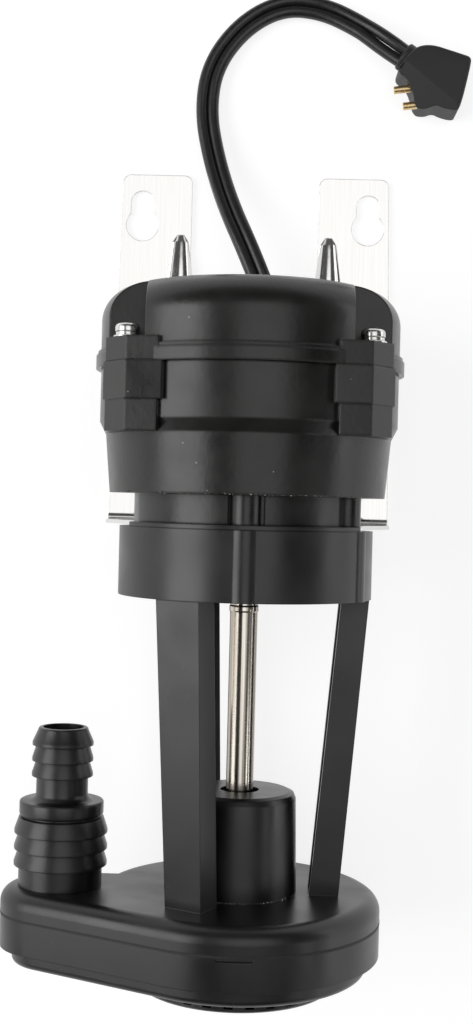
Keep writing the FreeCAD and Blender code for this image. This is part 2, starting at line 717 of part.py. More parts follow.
def rib_profile(bracket, name, side, inset):
    """Half the outline of a pressed rib, a tapered dart that is turned about its own middle line."""
    drawing = sketch(bracket, name, "XY_Plane")
    middle = f"{side} * dims.rib_place"
    polygon(drawing, [
        (middle, f"dims.rib_low + {inset}"),
        (f"{side} * (dims.rib_place + (dims.rib_big - {inset}) * 0.7)", f"dims.rib_low + {inset}"),
        (f"{side} * (dims.rib_place + dims.rib_big - {inset})", f"dims.rib_low + dims.rib_big * 0.6"),
        (f"{side} * (dims.rib_place + dims.rib_big - {inset})", "dims.notch_floor"),
        (f"{side} * (dims.rib_place + dims.rib_small - {inset})", f"dims.rib_top - dims.rib_small"),
        (f"{side} * (dims.rib_place + (dims.rib_small - {inset}) * 0.6)", f"dims.rib_top - 0.6 - {inset}"),
        (middle, f"dims.rib_top - {inset}"),
    ])
    axis = drawing.addGeometry(Part.LineSegment(Vector(1, 0, 0), Vector(1, 5, 0)), True)
    bind(drawing, "DistanceX", (-1, 1, axis, 1), middle)
    bind(drawing, "DistanceX", (-1, 1, axis, 2), middle)
    bind(drawing, "DistanceY", (-1, 1, axis, 1), "dims.rib_low")
    bind(drawing, "DistanceY", (-1, 1, axis, 2), "dims.rib_top")
    return drawing


make_bracket()


# Pump frame in one moulding: collar, three channel legs, the casing's upper half and the shaft tower
def make_frame():
    frame = body("pump_frame")
    collar = polygon(sketch(frame, "collar_profile", "XY_Plane"), [
        ("dims.collar_window", COLLAR_TOP),
        ("dims.collar_radius", COLLAR_TOP),
        ("dims.collar_radius", COLLAR_LOW),
        ("dims.collar_radius - dims.collar_wall", COLLAR_LOW),
        ("dims.collar_radius - dims.collar_wall", f"{COLLAR_TOP} - dims.collar_web"),
        ("dims.collar_window", f"{COLLAR_TOP} - dims.collar_web"),
    ])
    turn(frame, "collar_ring", collar)
    for number, azimuth in enumerate(BOSS_TURNS):
        across, along = around(azimuth, "dims.collar_boss_place")
        boss = circle(sketch(frame, f"collar_boss_{number}", "XZ_Plane", COLLAR_TOP), "dims.collar_boss",
                      across, along)
        feature(frame, "Pad", f"collar_boss_block_{number}", boss, Length="dims.collar_depth")
    casing = casing_outline(sketch(frame, "casing_outline", "XZ_Plane", "dims.seam"))
    block = feature(frame, "Pad", "casing_block", casing, Length="dims.plate_top - dims.seam", Reversed=True)
    top = size("plate_top")
    soften(frame, "casing_shoulder", block, "dims.casing_round",
           lambda e: at_station(e, top, size("tower_low_radius")))
    tower = polygon(sketch(frame, "tower_profile", "XY_Plane"), [
        ("0", "dims.plate_top - 1"),
        ("dims.tower_low_radius", "dims.plate_top - 1"),
        ("dims.tower_low_radius", "dims.plate_top"),
        ("dims.tower_top_radius", "dims.tower_top - dims.tower_round"),
        ("dims.tower_top_radius - dims.tower_round * 0.3", "dims.tower_top - dims.tower_round * 0.3"),
        ("dims.tower_top_radius - dims.tower_round", "dims.tower_top"),
        ("0", "dims.tower_top"),
    ])
    turn(frame, "tower", tower)
    low = leg_outline(sketch(frame, "leg_low", "XZ_Plane", "dims.plate_top - 1"), "low")
    high = leg_outline(sketch(frame, "leg_high", "XZ_Plane", f"{COLLAR_LOW} + 3"), "top")
    leg = frame.newObject("PartDesign::AdditiveLoft", "leg")
    leg.Profile = low
    leg.Sections = [high]
    leg.Ruled = True
    low.Visibility = high.Visibility = False
    DOC.recompute()
    polar(frame, "legs", [leg], 3)
    chamber = circle(sketch(frame, "chamber", "XZ_Plane", "dims.seam"), "dims.cavity_radius")
    feature(frame, "Pocket", "pump_chamber", chamber,
            Length="dims.plate_top - dims.seam - dims.casing_plate", Reversed=True)
    cut_duct(frame, "dims.plate_top - dims.seam - dims.casing_plate", Reversed=True)
    hollow = polygon(sketch(frame, "tower_hollow", "XY_Plane"), [
        ("0", "dims.seam"),
        ("dims.tower_low_radius - dims.tower_wall", "dims.seam"),
        ("dims.tower_top_radius - dims.tower_wall", "dims.tower_top - dims.tower_wall"),
        ("dims.tower_hole", "dims.tower_top - dims.tower_wall"),
        ("dims.tower_hole", "dims.tower_top + 1"),
        ("0", "dims.tower_top + 1"),
    ])
    turn(frame, "tower_space", hollow, "Groove")
    port = circle(sketch(frame, "port", "XZ_Plane", "dims.seam"), "dims.port_radius", "-1 * dims.arm_place")
    feature(frame, "Pocket", "outlet_port", port, Length="dims.plate_top - dims.seam + 1", Reversed=True)
    for number, azimuth in enumerate(BOSS_TURNS):
        across, along = around(azimuth, "dims.foot_boss_place")
        well = circle(sketch(frame, f"head_well_{number}", "XZ_Plane", COLLAR_LOW),
                      "dims.frame_screw_head + 0.3", across, along)
        feature(frame, "Pocket", f"head_well_cut_{number}", well, Length="dims.head_depth", Reversed=True)
        hole = circle(sketch(frame, f"screw_hole_{number}", "XZ_Plane", COLLAR_TOP),
                      "dims.screw_shank + 0.2", across, along)
        feature(frame, "Pocket", f"screw_hole_cut_{number}", hole, Length="dims.collar_depth")
    return frame


def casing_outline(drawing, inset=None):
    """The casing seen along the axis: its disc, the arm's round end and the two lines that join them."""
    less = f" - dims.{inset}" if inset else ""
    shrink = size(inset) if inset else 0
    disc, end = f"(dims.casing_radius{less})", f"(dims.arm_radius{less})"
    big, small, reach = size("casing_radius") - shrink, size("arm_radius") - shrink, size("arm_place")
    lean = "((dims.casing_radius - dims.arm_radius) / dims.arm_place)"
    rise = f"sqrt(1 - {lean} ^ 2)"
    front = math.acos((small - big) / reach)
    behind = math.pi + math.asin(small / big)
    up = Vector(0, 0, 1)
    arm_arc = drawing.addGeometry(Part.ArcOfCircle(Part.Circle(Vector(-reach, 0, 0), up, small),
                                                   front, 1.5 * math.pi))
    disc_arc = drawing.addGeometry(Part.ArcOfCircle(Part.Circle(Vector(0, 0, 0), up, big),
                                                    behind, front + math.tau))
    front_line, back_line = (
        drawing.addGeometry(Part.LineSegment(drawing.getPoint(*first), drawing.getPoint(*last)))
        for first, last in (((disc_arc, 2), (arm_arc, 1)), ((arm_arc, 2), (disc_arc, 1))))
    for one, other in (((front_line, 1), (disc_arc, 2)), ((front_line, 2), (arm_arc, 1)),
                       ((back_line, 1), (arm_arc, 2)), ((back_line, 2), (disc_arc, 1))):
        drawing.addConstraint(Sketcher.Constraint("Coincident", *one, *other))
    for item, point, across, along in (
            (arm_arc, 3, "-1 * dims.arm_place", "0"), (disc_arc, 3, "0", "0"),
            (arm_arc, 1, f"-1 * dims.arm_place - {end} * {lean}", f"{end} * {rise}"),
            (disc_arc, 1, f"-1 * sqrt({disc} ^ 2 - {end} ^ 2)", f"-1 * {end}")):
        bind(drawing, "DistanceX", (-1, 1, item, point), across)
        bind(drawing, "DistanceY", (-1, 1, item, point), along)
    bind(drawing, "DistanceX", (-1, 1, arm_arc, 2), "-1 * dims.arm_place")
    bind(drawing, "DistanceX", (-1, 1, disc_arc, 2), f"-1 * {disc} * {lean}")
    return drawing


def cut_duct(part, depth, **rules):
    """The water's way from the chamber along the arm, with a round end under the outlet."""
    half = "dims.channel_radius"
    way = box(sketch(part, "duct", "XZ_Plane", "dims.seam"),
              "-1 * dims.arm_place", "-1 * dims.cavity_radius / 2", f"-1 * {half}", half)
    feature(part, "Pocket", "outlet_duct", way, Length=depth, **rules)
    well = circle(sketch(part, "duct_end", "XZ_Plane", "dims.seam"), half, "-1 * dims.arm_place")
    feature(part, "Pocket", "outlet_well", well, Length=depth, **rules)


def leg_outline(drawing, end):
    """A channel open towards the shaft, turned to the leg's place on the right."""
    outer, inner, width = (f"dims.leg_{end}_{item}" for item in ("out", "in", "width"))
    half = f"{width} / 2"
    return polygon(drawing, [
        (outer, f"-1 * {half}"), (outer, half), (inner, half), (inner, f"{half} - dims.leg_wall"),
        (f"{outer} - dims.leg_wall", f"{half} - dims.leg_wall"),
        (f"{outer} - dims.leg_wall", f"-1 * ({half} - dims.leg_wall)"),
        (inner, f"-1 * ({half} - dims.leg_wall)"), (inner, f"-1 * {half}")])


make_frame()


# Volute cover, the lower half of the casing, with the inlet in its floor
def make_cover():
    cover = body("volute_cover")
    band = casing_outline(sketch(cover, "band_outline", "XZ_Plane", "dims.seam"))
    feature(cover, "Pad", "band_block", band, Length="dims.cover_depth")
    step = casing_outline(sketch(cover, "step_outline", "XZ_Plane", COVER_LOW), "step_inset")
    block = feature(cover, "Pad", "step_block", step, Length="dims.step_depth")
    rim = size("seam") - size("cover_depth") - size("step_depth")
    soften(cover, "step_round", block, "dims.step_round", lambda e: at_station(e, rim))
    chamber = circle(sketch(cover, "chamber", "XZ_Plane", "dims.seam"), "dims.cavity_radius")
    feature(cover, "Pocket", "pump_chamber", chamber, Length=CHAMBER_DEPTH)
    cut_duct(cover, CHAMBER_DEPTH)
    inlet = circle(sketch(cover, "inlet", "XZ_Plane", "dims.seam"), "dims.inlet_radius")
    feature(cover, "Pocket", "inlet_hole", inlet, Length="dims.cover_depth + dims.step_depth + 1")
    seat = circle(sketch(cover, "strainer_seat", "XZ_Plane", STEP_LOW),
                  "dims.strainer_radius + dims.fit_gap")
    feature(cover, "Pocket", "strainer_seat_cut", seat, Length="dims.strainer_wall", Reversed=True)
    nick = box(sketch(cover, "snap_notch", "XZ_Plane", "dims.seam"),
               "-1 * dims.notch_half", "dims.notch_half", "dims.casing_radius - 1", "dims.casing_radius + 1")
    feature(cover, "Pocket", "snap_notch_cut", nick, Length="dims.notch_depth")
    return cover


make_cover()


# Inlet strainer, a shallow cup with a ring of slots that snaps under the cover
def make_strainer():
    strainer = body("inlet_strainer")
    top = f"({STEP_LOW} + dims.strainer_wall - dims.fit_gap)"
    low = f"({STEP_LOW} - dims.strainer_depth)"
    cup = polygon(sketch(strainer, "strainer_profile", "XY_Plane"), [
        ("dims.strainer_radius - dims.strainer_wall", top),
        ("dims.strainer_radius", top),
        ("dims.strainer_radius", f"{low} + 1"),
        ("dims.strainer_radius - 1", low),
        ("0", low),
        ("0", f"{low} + dims.strainer_wall - 0.6"),
        ("dims.strainer_radius - dims.strainer_wall", f"{low} + dims.strainer_wall - 0.6"),
    ])
    turn(strainer, "strainer_cup", cup)
    slot = box(sketch(strainer, "slot_profile", "XZ_Plane", f"{STEP_LOW} - 0.5"),
               "-1 * dims.strainer_slot / 2", "dims.strainer_slot / 2",
               "dims.strainer_radius - 2 * dims.strainer_wall", "dims.strainer_radius + 1")
    cut = feature(strainer, "Pocket", "slot", slot, Length="dims.strainer_slot_high")
    polar(strainer, "slots", [cut], "dims.strainer_slots")
    peg = circle(sketch(strainer, "peg_profile", "XZ_Plane", low), "dims.strainer_peg",
                 "0", "dims.strainer_radius - 3")
    feature(strainer, "Pad", "peg", peg, Length="0.9")
    return strainer


make_strainer()


# Outlet barb: a big and a small barbed hose tail in line, stood on the arm of the casing
def barb_teeth(first, pitch, root, crest, count):
    points = []
    for tooth in range(count):
        start = f"({first} + {tooth} * {pitch})"
        points += [(crest, start), (crest, f"{start} + 0.5"), (f"{root} + 0.35 * ({crest} - {root})",
                                                                 f"{start} + {pitch} * 0.97")]
        if tooth < count - 1:
            points.append((f"{root} + 0.35 * ({crest} - {root})", f"{start} + {pitch}"))
    return points


BARB = [("dims.outlet_bore", "dims.plate_top"),
        ("dims.barb_root + 1.2", "dims.plate_top"),
        ("dims.barb_root", "dims.plate_top + 1.8"),
        ("dims.barb_root", "dims.barb_first")]
BARB += barb_teeth("dims.barb_first", "dims.barb_pitch", "dims.barb_root", "dims.barb_big", 3)
BARB += [("dims.barb_root - 0.6", "dims.disc_low - 1"), ("dims.barb_disc - 0.6", "dims.disc_low"),
         ("dims.barb_disc", "dims.disc_low + 0.6"), ("dims.barb_disc", "dims.disc_high - 0.8"),
         ("dims.barb_disc - 0.8", "dims.disc_high"), ("dims.barb_neck", "dims.disc_high"),
         ("dims.barb_neck", "dims.small_first")]
BARB += barb_teeth("dims.small_first", "dims.small_pitch", "dims.barb_neck", "dims.barb_small", 3)
BARB += [("dims.barb_neck - 0.3", "dims.barb_mouth"), ("dims.outlet_bore", "dims.barb_mouth")]
turned("outlet_barb", BARB, {"x": "-1 * dims.arm_place", "z": "dims.axis_height"})


# Pan-head screws in groups: shank, head with rounded rim and a cross recess
def screw_group(name, places, head_low, head_radius, head_high, shank_end, facing):
    screws = []
    for number, (across, along) in enumerate(places):
        parts = []
        shank = DOC.addObject("Part::Cylinder", f"{name}_shank_{number}")
        shank.setExpression("Radius", "dims.screw_shank")
        shank.setExpression("Height", f"abs({head_low} - ({shank_end}))")
        head = DOC.addObject("Part::Cylinder", f"{name}_head_{number}")
        head.setExpression("Radius", head_radius)
        head.setExpression("Height", head_high)
        head.setExpression("Placement.Base.z", f"abs({head_low} - ({shank_end}))")
        union = DOC.addObject("Part::Fuse", f"{name}_blank_{number}")
        union.Base = shank
        union.Tool = head
        DOC.recompute()
        rim = [i for i, e in enumerate(union.Shape.Edges, start=1)
               if abs(e.BoundBox.ZMax - union.Shape.BoundBox.ZMax) < 0.01
               and abs(e.BoundBox.ZMin - union.Shape.BoundBox.ZMax) < 0.01]
        pan = DOC.addObject("Part::Fillet", f"{name}_pan_{number}")
        pan.Base = union
        rounding = size("screw_recess") * 0.8
        pan.Edges = [(i, rounding, rounding) for i in rim]
        cutter = DOC.addObject("Part::Fuse", f"{name}_cross_{number}")
        bars = []
        for way, (length, width) in enumerate(((4.4, 0.9), (0.9, 4.4))):
            bar = DOC.addObject("Part::Box", f"{name}_bar_{way}_{number}")
            bar.Length = length
            bar.Width = width
            bar.setExpression("Height", "dims.screw_recess * 2")
            bar.setExpression("Placement.Base.z",
                              f"abs({head_low} - ({shank_end})) + {head_high} - dims.screw_recess")
            bar.Placement.Base.x = -length / 2
            bar.Placement.Base.y = -width / 2
            bars.append(bar)
        cutter.Base, cutter.Tool = bars
        screw = DOC.addObject("Part::Cut", f"{name}_{number}")
        screw.Base = pan
        screw.Tool = cutter
        screw.Placement.Rotation = FreeCAD.Rotation(Vector(1, 0, 0), -90 if facing > 0 else 90)
        screw.setExpression("Placement.Base.x", across)
        screw.setExpression("Placement.Base.y", shank_end)
        screw.setExpression("Placement.Base.z", f"dims.axis_height + {along}")
        screws.append(screw)
    group = DOC.addObject("Part::Compound", name)
    group.Links = screws
    group.Label = name
    DOC.recompute()
    return group


LUG_PLACES = [(f"{sx} * dims.screw_x", f"{sz} * dims.screw_z") for sx, sz in QUARTERS]
WASHER_TOP = "(dims.cap_lug_height + dims.washer_thickness)"
screw_group("end_cap_screws", LUG_PLACES, WASHER_TOP, "dims.screw_head", "dims.screw_head_height",
            "dims.cap_lug_height - dims.screw_length", 1)
FRAME_PLACES = [around(azimuth, "dims.foot_boss_place") for azimuth in BOSS_TURNS]
HEAD_SEAT = f"({COLLAR_LOW} + dims.head_depth)"
screw_group("frame_screws", FRAME_PLACES, HEAD_SEAT, "dims.frame_screw_head", "dims.screw_head_height",
            f"{HEAD_SEAT} + dims.frame_screw_length", -1)


# Spring washers, one ring under each end cap screw
def washer_group():
    rings = []
    for number, (across, along) in enumerate(LUG_PLACES):
        ring = DOC.addObject("Part::Cut", f"washer_{number}")
        for role, radius in (("Base", "dims.washer_radius"),
                             ("Tool", "dims.screw_shank + dims.thread_clearance")):
            disc = DOC.addObject("Part::Cylinder", f"washer_{role}_{number}")
            disc.setExpression("Radius", radius)
            disc.setExpression("Height", "dims.washer_thickness")
            setattr(ring, role, disc)
        ring.Placement.Rotation = FreeCAD.Rotation(Vector(1, 0, 0), -90)
        ring.setExpression("Placement.Base.x", across)
        ring.setExpression("Placement.Base.y", "dims.cap_lug_height")
        ring.setExpression("Placement.Base.z", f"dims.axis_height + {along}")
        rings.append(ring)
    group = DOC.addObject("Part::Compound", "end_cap_washers")
    group.Links = rings
    group.Label = "end_cap_washers"
    DOC.recompute()


washer_group()


# Grommet, a soft bush in the end cap that the cord comes out of
turned("cord_grommet", [
    ("0", "dims.cap_top - 2 * dims.wall + dims.fit_gap"),
    ("dims.grommet_radius - 1 - dims.fit_gap", "dims.cap_top - 2 * dims.wall + dims.fit_gap"),
    ("dims.grommet_radius - 1 - dims.fit_gap", "dims.grommet_top - 1"),
    ("dims.grommet_radius - 2 - dims.fit_gap", "dims.grommet_top"),
    ("0", "dims.grommet_top"),
], {"x": "dims.cord_x", "z": "dims.axis_height + dims.cord_z"})

# The cord's route, from the grommet down to the table and round to the plug
CORD_ROUTE = [
    Vector(size("cord_x"), size("grommet_top"), size("axis_height") + size("cord_z")),
    Vector(-1.5, 40.5, 16.5),
    Vector(-8.5, 56.0, 10.5),
    Vector(-13.5, 71.5, 5.2),
    Vector(-16.6, 87.0, 2.8),
    Vector(-14.8, 102.0, 2.1),
    Vector(-5.5, 114.8, 2.1),
    Vector(7.0, 121.8, 2.2),
    Vector(20.0, 120.5, 3.0),
    Vector(31.5, 114.5, 5.0),
    Vector(40.0, 106.5, 7.2),
    Vector(45.5, 101.2, 8.0),
]


def rounded_path(route):
    """Straight runs joined by tangent arcs, each as large as its two runs allow."""
    edges = []
    radii = []
    start = route[0]
    for before, corner, after in zip(route, route[1:], route[2:]):
        into = (corner - before).normalize()
        out = (after - corner).normalize()
        half = into.getAngle(out) / 2
        back = 0.45 * min((corner - before).Length, (after - corner).Length)
        radii.append(back / math.tan(half))
        first = corner - into * back
        last = corner + out * back
        bisector = (out - into).normalize()
        centre = corner + bisector * math.hypot(back, radii[-1])
        middle = centre - bisector * radii[-1]
        edges += [Part.LineSegment(start, first).toShape(), Part.Arc(first, middle, last).toShape()]
        start = last
    edges.append(Part.LineSegment(start, route[-1]).toShape())
    return Part.Wire(edges), radii


def flat_section(start, heading):
    """The flat cord's outline at its start: two half circles joined by straight lines."""
    across = Vector(0, 0, 1).cross(heading).normalize()
    up = heading.cross(across).normalize()
    round_radius = size("cord_thickness") / 2
    half = size("cord_width") / 2 - round_radius
    left, right = start - across * half, start + across * half
    rise = up * round_radius
    return Part.Wire([
        Part.LineSegment(left + rise, right + rise).toShape(),
        Part.Arc(right + rise, right + across * round_radius, right - rise).toShape(),
        Part.LineSegment(right - rise, left - rise).toShape(),
        Part.Arc(left - rise, left - across * round_radius, left + rise).toShape(),
    ])


def make_cord():
    path, radii = rounded_path(CORD_ROUTE)
    section = flat_section(CORD_ROUTE[0], CORD_ROUTE[1] - CORD_ROUTE[0])
    sweep = Part.BRepOffsetAPI.MakePipeShell(path)
    sweep.setBiNormalMode(Vector(0, 0, 1))
    sweep.setTransitionMode(0)
    sweep.add(section)
    sweep.build()
    sweep.makeSolid()
    cord = DOC.addObject("Part::Feature", "power_cord")
    cord.Label = "power_cord"
    cord.Shape = sweep.shape()
    area = Part.Face(section).Area
    print("cord length", round(path.Length, 1), "radii", [round(r, 1) for r in radii])
    print("cord volume", round(cord.Shape.Volume, 1), "section times length", round(area * path.Length, 1))
    return cord


make_cord()


# Plug: a flat moulded body with a slanted pin face, a collar round the cord and two brass pins
PLUG_OUTLINE = [(47.5, 106.6), (50.6, 108.4), (64.9, 104.2), (66.4, 101.3), (63.1, 86.2), (60.0, 85.0),
                (56.4, 84.6), (54.1, 86.0), (49.7, 85.9), (47.0, 91.6), (42.8, 95.6), (43.0, 98.6)]
PIN_FOOT = [Vector(45.1, 93.9, 0), Vector(48.1, 88.9, 0)]
PIN_HEADING = Vector(-0.99, -0.13, 0).normalize()


def pin_cylinder(name, foot, clearance):
    pin = DOC.addObject("Part::Cylinder", name)
    pin.setExpression("Radius", f"dims.pin_radius + {clearance}")
    pin.setExpression("Height", "dims.pin_length")
    start = foot - PIN_HEADING * size("pin_depth")
    pin.Placement = FreeCAD.Placement(start, FreeCAD.Rotation(Vector(0, 0, 1), PIN_HEADING))
    pin.setExpression("Placement.Base.z", "dims.plug_low + dims.pin_height")
    return pin


def make_plug():
    block = body("plug_block", {"z": "dims.plug_low"})
    outline = sketch(block, "plug_outline", "XY_Plane")
    polygon(outline, PLUG_OUTLINE)
    pad = feature(block, "Pad", "plug_pad", outline, Length="dims.plug_thickness")
    top = size("plug_thickness")
    slanted = [(43.0, 98.6), (42.8, 95.6), (47.0, 91.6), (49.7, 85.9)]
    middles = [Vector((a[0] + b[0]) / 2, (a[1] + b[1]) / 2, top) for a, b in zip(slanted, slanted[1:])]
    face = soften(block, "pin_face_slope", pad, "dims.plug_slope",
                  lambda e: any((e.CenterOfMass - middle).Length < 0.1 for middle in middles), "Chamfer")
    soften(block, "plug_edges", face, "dims.plug_round",
           lambda e: abs(e.BoundBox.ZMin - top) < 0.01 and e.BoundBox.XMin > 53.9, "Chamfer")
    heading = (CORD_ROUTE[-1] - CORD_ROUTE[-2]).normalize()
    collar = DOC.addObject("Part::Cylinder", "plug_collar")
    collar.setExpression("Radius", "dims.plug_collar")
    collar.setExpression("Height", "dims.plug_collar_length")
    collar.Placement = FreeCAD.Placement(CORD_ROUTE[-1], FreeCAD.Rotation(Vector(0, 0, 1), heading))
    joined = DOC.addObject("Part::Fuse", "plug_joined")
    joined.Base, joined.Tool = block, collar
    seats = DOC.addObject("Part::Compound", "pin_seats")
    seats.Links = [pin_cylinder(f"pin_seat_{i}", foot, 0.02) for i, foot in enumerate(PIN_FOOT)]
    plug = DOC.addObject("Part::Cut", "plug_body")
    plug.Base, plug.Tool = joined, seats
    plug.Label = "plug_body"
    pins = DOC.addObject("Part::Compound", "plug_pins")
    pins.Links = [pin_cylinder(f"pin_{i}", foot, 0) for i, foot in enumerate(PIN_FOOT)]
    pins.Label = "plug_pins"
    DOC.recompute()


make_plug()

NODES = ["motor_end_cap", "motor_housing", "stator_core", "field_coils", "upper_bush", "lower_bush",
         "rotor_core", "rotor_end_ring_upper", "rotor_end_ring_lower", "thrust_washer_upper",
         "thrust_washer_lower", "motor_shaft", "water_slinger", "impeller", "mounting_bracket", "pump_frame",
         "volute_cover", "inlet_strainer", "outlet_barb", "end_cap_screws", "end_cap_washers", "frame_screws",
         "cord_grommet", "power_cord", "plug_body", "plug_pins"]

DOC.recompute()
failed = [f"{item.Name}: {item.getStatusString()}" for item in DOC.Objects
          if "Invalid" in item.State or "Error" in item.State]
if failed:
    raise RuntimeError("features that failed: " + "; ".join(failed))
os.makedirs("parts", exist_ok=True)
for label in NODES:
    shape = DOC.getObjectsByLabel(label)[0].Shape
    if shape.isNull() or not shape.isValid():
        raise RuntimeError(f"{label} has no valid shape")
    shape.exportStep(f"parts/{label}.step")
    print(label, "solids", len(shape.Solids), "volume", round(shape.Volume))
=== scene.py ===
# %% [markdown]
# # An ice machine's water pump
#
# The pump lies on the back of its bracket on a white table, and the camera looks straight down at it.
# Its solid pieces come ready made, each in its place. What is left is how they look: the finish of every
# surface, the cord, the light and the camera. Every length here is in metres, so millimetres are
# multiplied by MM.

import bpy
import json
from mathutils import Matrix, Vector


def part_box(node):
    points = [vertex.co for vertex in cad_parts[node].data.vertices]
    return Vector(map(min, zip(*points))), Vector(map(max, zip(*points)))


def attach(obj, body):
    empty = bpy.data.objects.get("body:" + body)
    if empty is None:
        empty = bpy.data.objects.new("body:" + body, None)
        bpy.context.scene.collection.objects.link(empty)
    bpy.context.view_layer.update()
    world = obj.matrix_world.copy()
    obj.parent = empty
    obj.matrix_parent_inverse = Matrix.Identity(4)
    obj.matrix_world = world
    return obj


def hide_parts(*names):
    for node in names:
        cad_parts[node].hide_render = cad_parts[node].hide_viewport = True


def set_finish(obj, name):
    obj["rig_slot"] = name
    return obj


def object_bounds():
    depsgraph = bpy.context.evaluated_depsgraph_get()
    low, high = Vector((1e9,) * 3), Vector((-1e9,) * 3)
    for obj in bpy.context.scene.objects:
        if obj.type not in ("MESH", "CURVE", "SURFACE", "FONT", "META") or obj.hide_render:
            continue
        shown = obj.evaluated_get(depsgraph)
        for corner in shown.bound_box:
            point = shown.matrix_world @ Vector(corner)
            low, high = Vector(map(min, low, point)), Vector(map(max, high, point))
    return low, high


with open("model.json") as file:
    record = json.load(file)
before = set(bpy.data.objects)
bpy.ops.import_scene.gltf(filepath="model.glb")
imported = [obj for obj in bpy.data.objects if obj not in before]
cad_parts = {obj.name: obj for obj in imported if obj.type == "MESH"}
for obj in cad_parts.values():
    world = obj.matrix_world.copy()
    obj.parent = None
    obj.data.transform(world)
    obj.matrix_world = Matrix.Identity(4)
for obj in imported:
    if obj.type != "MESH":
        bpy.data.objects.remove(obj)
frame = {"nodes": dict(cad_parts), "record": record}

# %% Tools used below
import json
import math
import random

import bpy
from mathutils import Matrix, Vector

MM = 0.001
solid_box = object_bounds()
print("size in mm:", [round((b - a) / MM, 1) for a, b in zip(*solid_box)])

# %% [markdown]
# ## The camera
#
# A camera can be placed by eye, but this one was worked out from the outlines in the photograph: its
# height, its small turns and its focal length were fitted together until they agreed. The picture is
# tall, so the sensor is fitted by its height, and the focal length in picture points becomes
# millimetres by the sensor's height.

# %% Set up the camera
PICTURE_HEIGHT = 1024
FOCAL_POINTS = 1461.93
SENSOR = 36.0
PITCH, YAW, ROLL = -0.0057, 0.0151, 0.0253
CAMERA_PLACE = Vector((3.4775, -37.41, 468.62)) * MM
NEAREST, FARTHEST = 0.01, 20


def camera_axes(pitch, yaw, roll):
    """Right, up and backward directions of a camera that looks down, after three small turns."""
    ahead = Vector((-math.cos(pitch) * math.sin(yaw), math.sin(pitch), -math.cos(pitch) * math.cos(yaw)))
    level = Vector((math.cos(yaw), 0, -math.sin(yaw)))
    lift = Vector((math.sin(pitch) * math.sin(yaw), math.cos(pitch), math.sin(pitch) * math.cos(yaw)))
    right = math.cos(roll) * level + math.sin(roll) * lift
    up = math.cos(roll) * lift - math.sin(roll) * level
    return right, up, -ahead


camera_data = bpy.data.cameras.new("camera")
camera_data.sensor_fit = "VERTICAL"
camera_data.sensor_width = camera_data.sensor_height = SENSOR
camera_data.lens = FOCAL_POINTS * SENSOR / PICTURE_HEIGHT
camera_data.clip_start, camera_data.clip_end = NEAREST, FARTHEST
camera = bpy.data.objects.new("camera", camera_data)
bpy.context.scene.collection.objects.link(camera)
camera.matrix_world = Matrix.Translation(CAMERA_PLACE) @ Matrix(
    camera_axes(PITCH, YAW, ROLL)).transposed().to_4x4()
bpy.context.scene.camera = camera
print("focal length in mm:", round(camera_data.lens, 2))

# %% [markdown]
# ## The route of the cord
#
# A cord could be bent by a simulation, but its way is seen whole in the photograph, so it is drawn. A
# NURBS curve passes smoothly inside its control points, as a springy cord does. The order and the end
# rule are set after the points are added, because a curve with no points can't take them.

# %% Draw the cord's route
CORD_ROUTE = [
    (3.0, 29.6, 17.5), (-1.5, 40.5, 16.5), (-8.5, 56.0, 10.5), (-13.5, 71.5, 5.2), (-16.6, 87.0, 2.8),
    (-14.8, 102.0, 2.1), (-5.5, 114.8, 2.1), (7.0, 121.8, 2.2), (20.0, 120.5, 3.0), (31.5, 114.5, 5.0),
    (40.0, 108.0, 7.4), (48.0, 102.4, 8.0),
]
ROUTE_STEPS = 10


def nurbs_points(route, resolution):
    """Points along a smooth curve that has the route as its control points."""
    curve = bpy.data.curves.new("route", "CURVE")
    curve.dimensions = "3D"
    spline = curve.splines.new("NURBS")
    spline.points.add(len(route) - 1)
    for point, place in zip(spline.points, route):
        point.co = (*(MM * value for value in place), 1)
    spline.order_u = 3
    spline.use_endpoint_u = True
    spline.resolution_u = resolution
    holder = bpy.data.objects.new("route", curve)
    bpy.context.scene.collection.objects.link(holder)
    bpy.context.view_layer.update()
    line = bpy.data.meshes.new_from_object(holder.evaluated_get(bpy.context.evaluated_depsgraph_get()))
    points = [vertex.co.copy() for vertex in line.vertices]
    bpy.data.objects.remove(holder)
    return points


cord_path = nurbs_points(CORD_ROUTE, ROUTE_STEPS)

# %% [markdown]
# ## The cord
#
# A flat twin cord is two round insulated cores with a web between them. One fat tube would lose the
# groove, so each core is a tube of its own with a flat on the inside, where the two are joined. Near the
# plug the web is torn, the cores part a little and one rides up over the other, which the same code
# makes by sliding the cores sideways over the last stretch.

# %% Draw a core's section and follow the route
CORE_RADIUS = 1.9 * MM
CORE_PLACE = 1.7 * MM
CORE_CORNERS = 14


def core_outline():
    """One core's section, from the web at its foot round to the web at its top."""
    web = math.acos(-CORE_PLACE / CORE_RADIUS)
    angles = [web * (2 * i / (CORE_CORNERS - 1) - 1) for i in range(CORE_CORNERS)]
    return [(CORE_PLACE + CORE_RADIUS * math.cos(a), CORE_RADIUS * math.sin(a)) for a in angles]


def way_along(path):
    """For each point of a path its place, its heading and its distance from the start."""
    gone = 0.0
    found = []
    for number, point in enumerate(path):
        before, after = path[max(number - 1, 0)], path[min(number + 1, len(path) - 1)]
        if number:
            gone += (point - path[number - 1]).length
        found.append((point, (after - before).normalized(), gone))
    return found


print("corners of a core:", len(core_outline()), "stops on the way:", len(way_along(cord_path)))

# %% Sweep the two cores
PARTED_LENGTH = 19 * MM
PARTED_GAP = 0.1 * MM
PARTED_RISE = 0.7 * MM
UP = Vector((0, 0, 1))


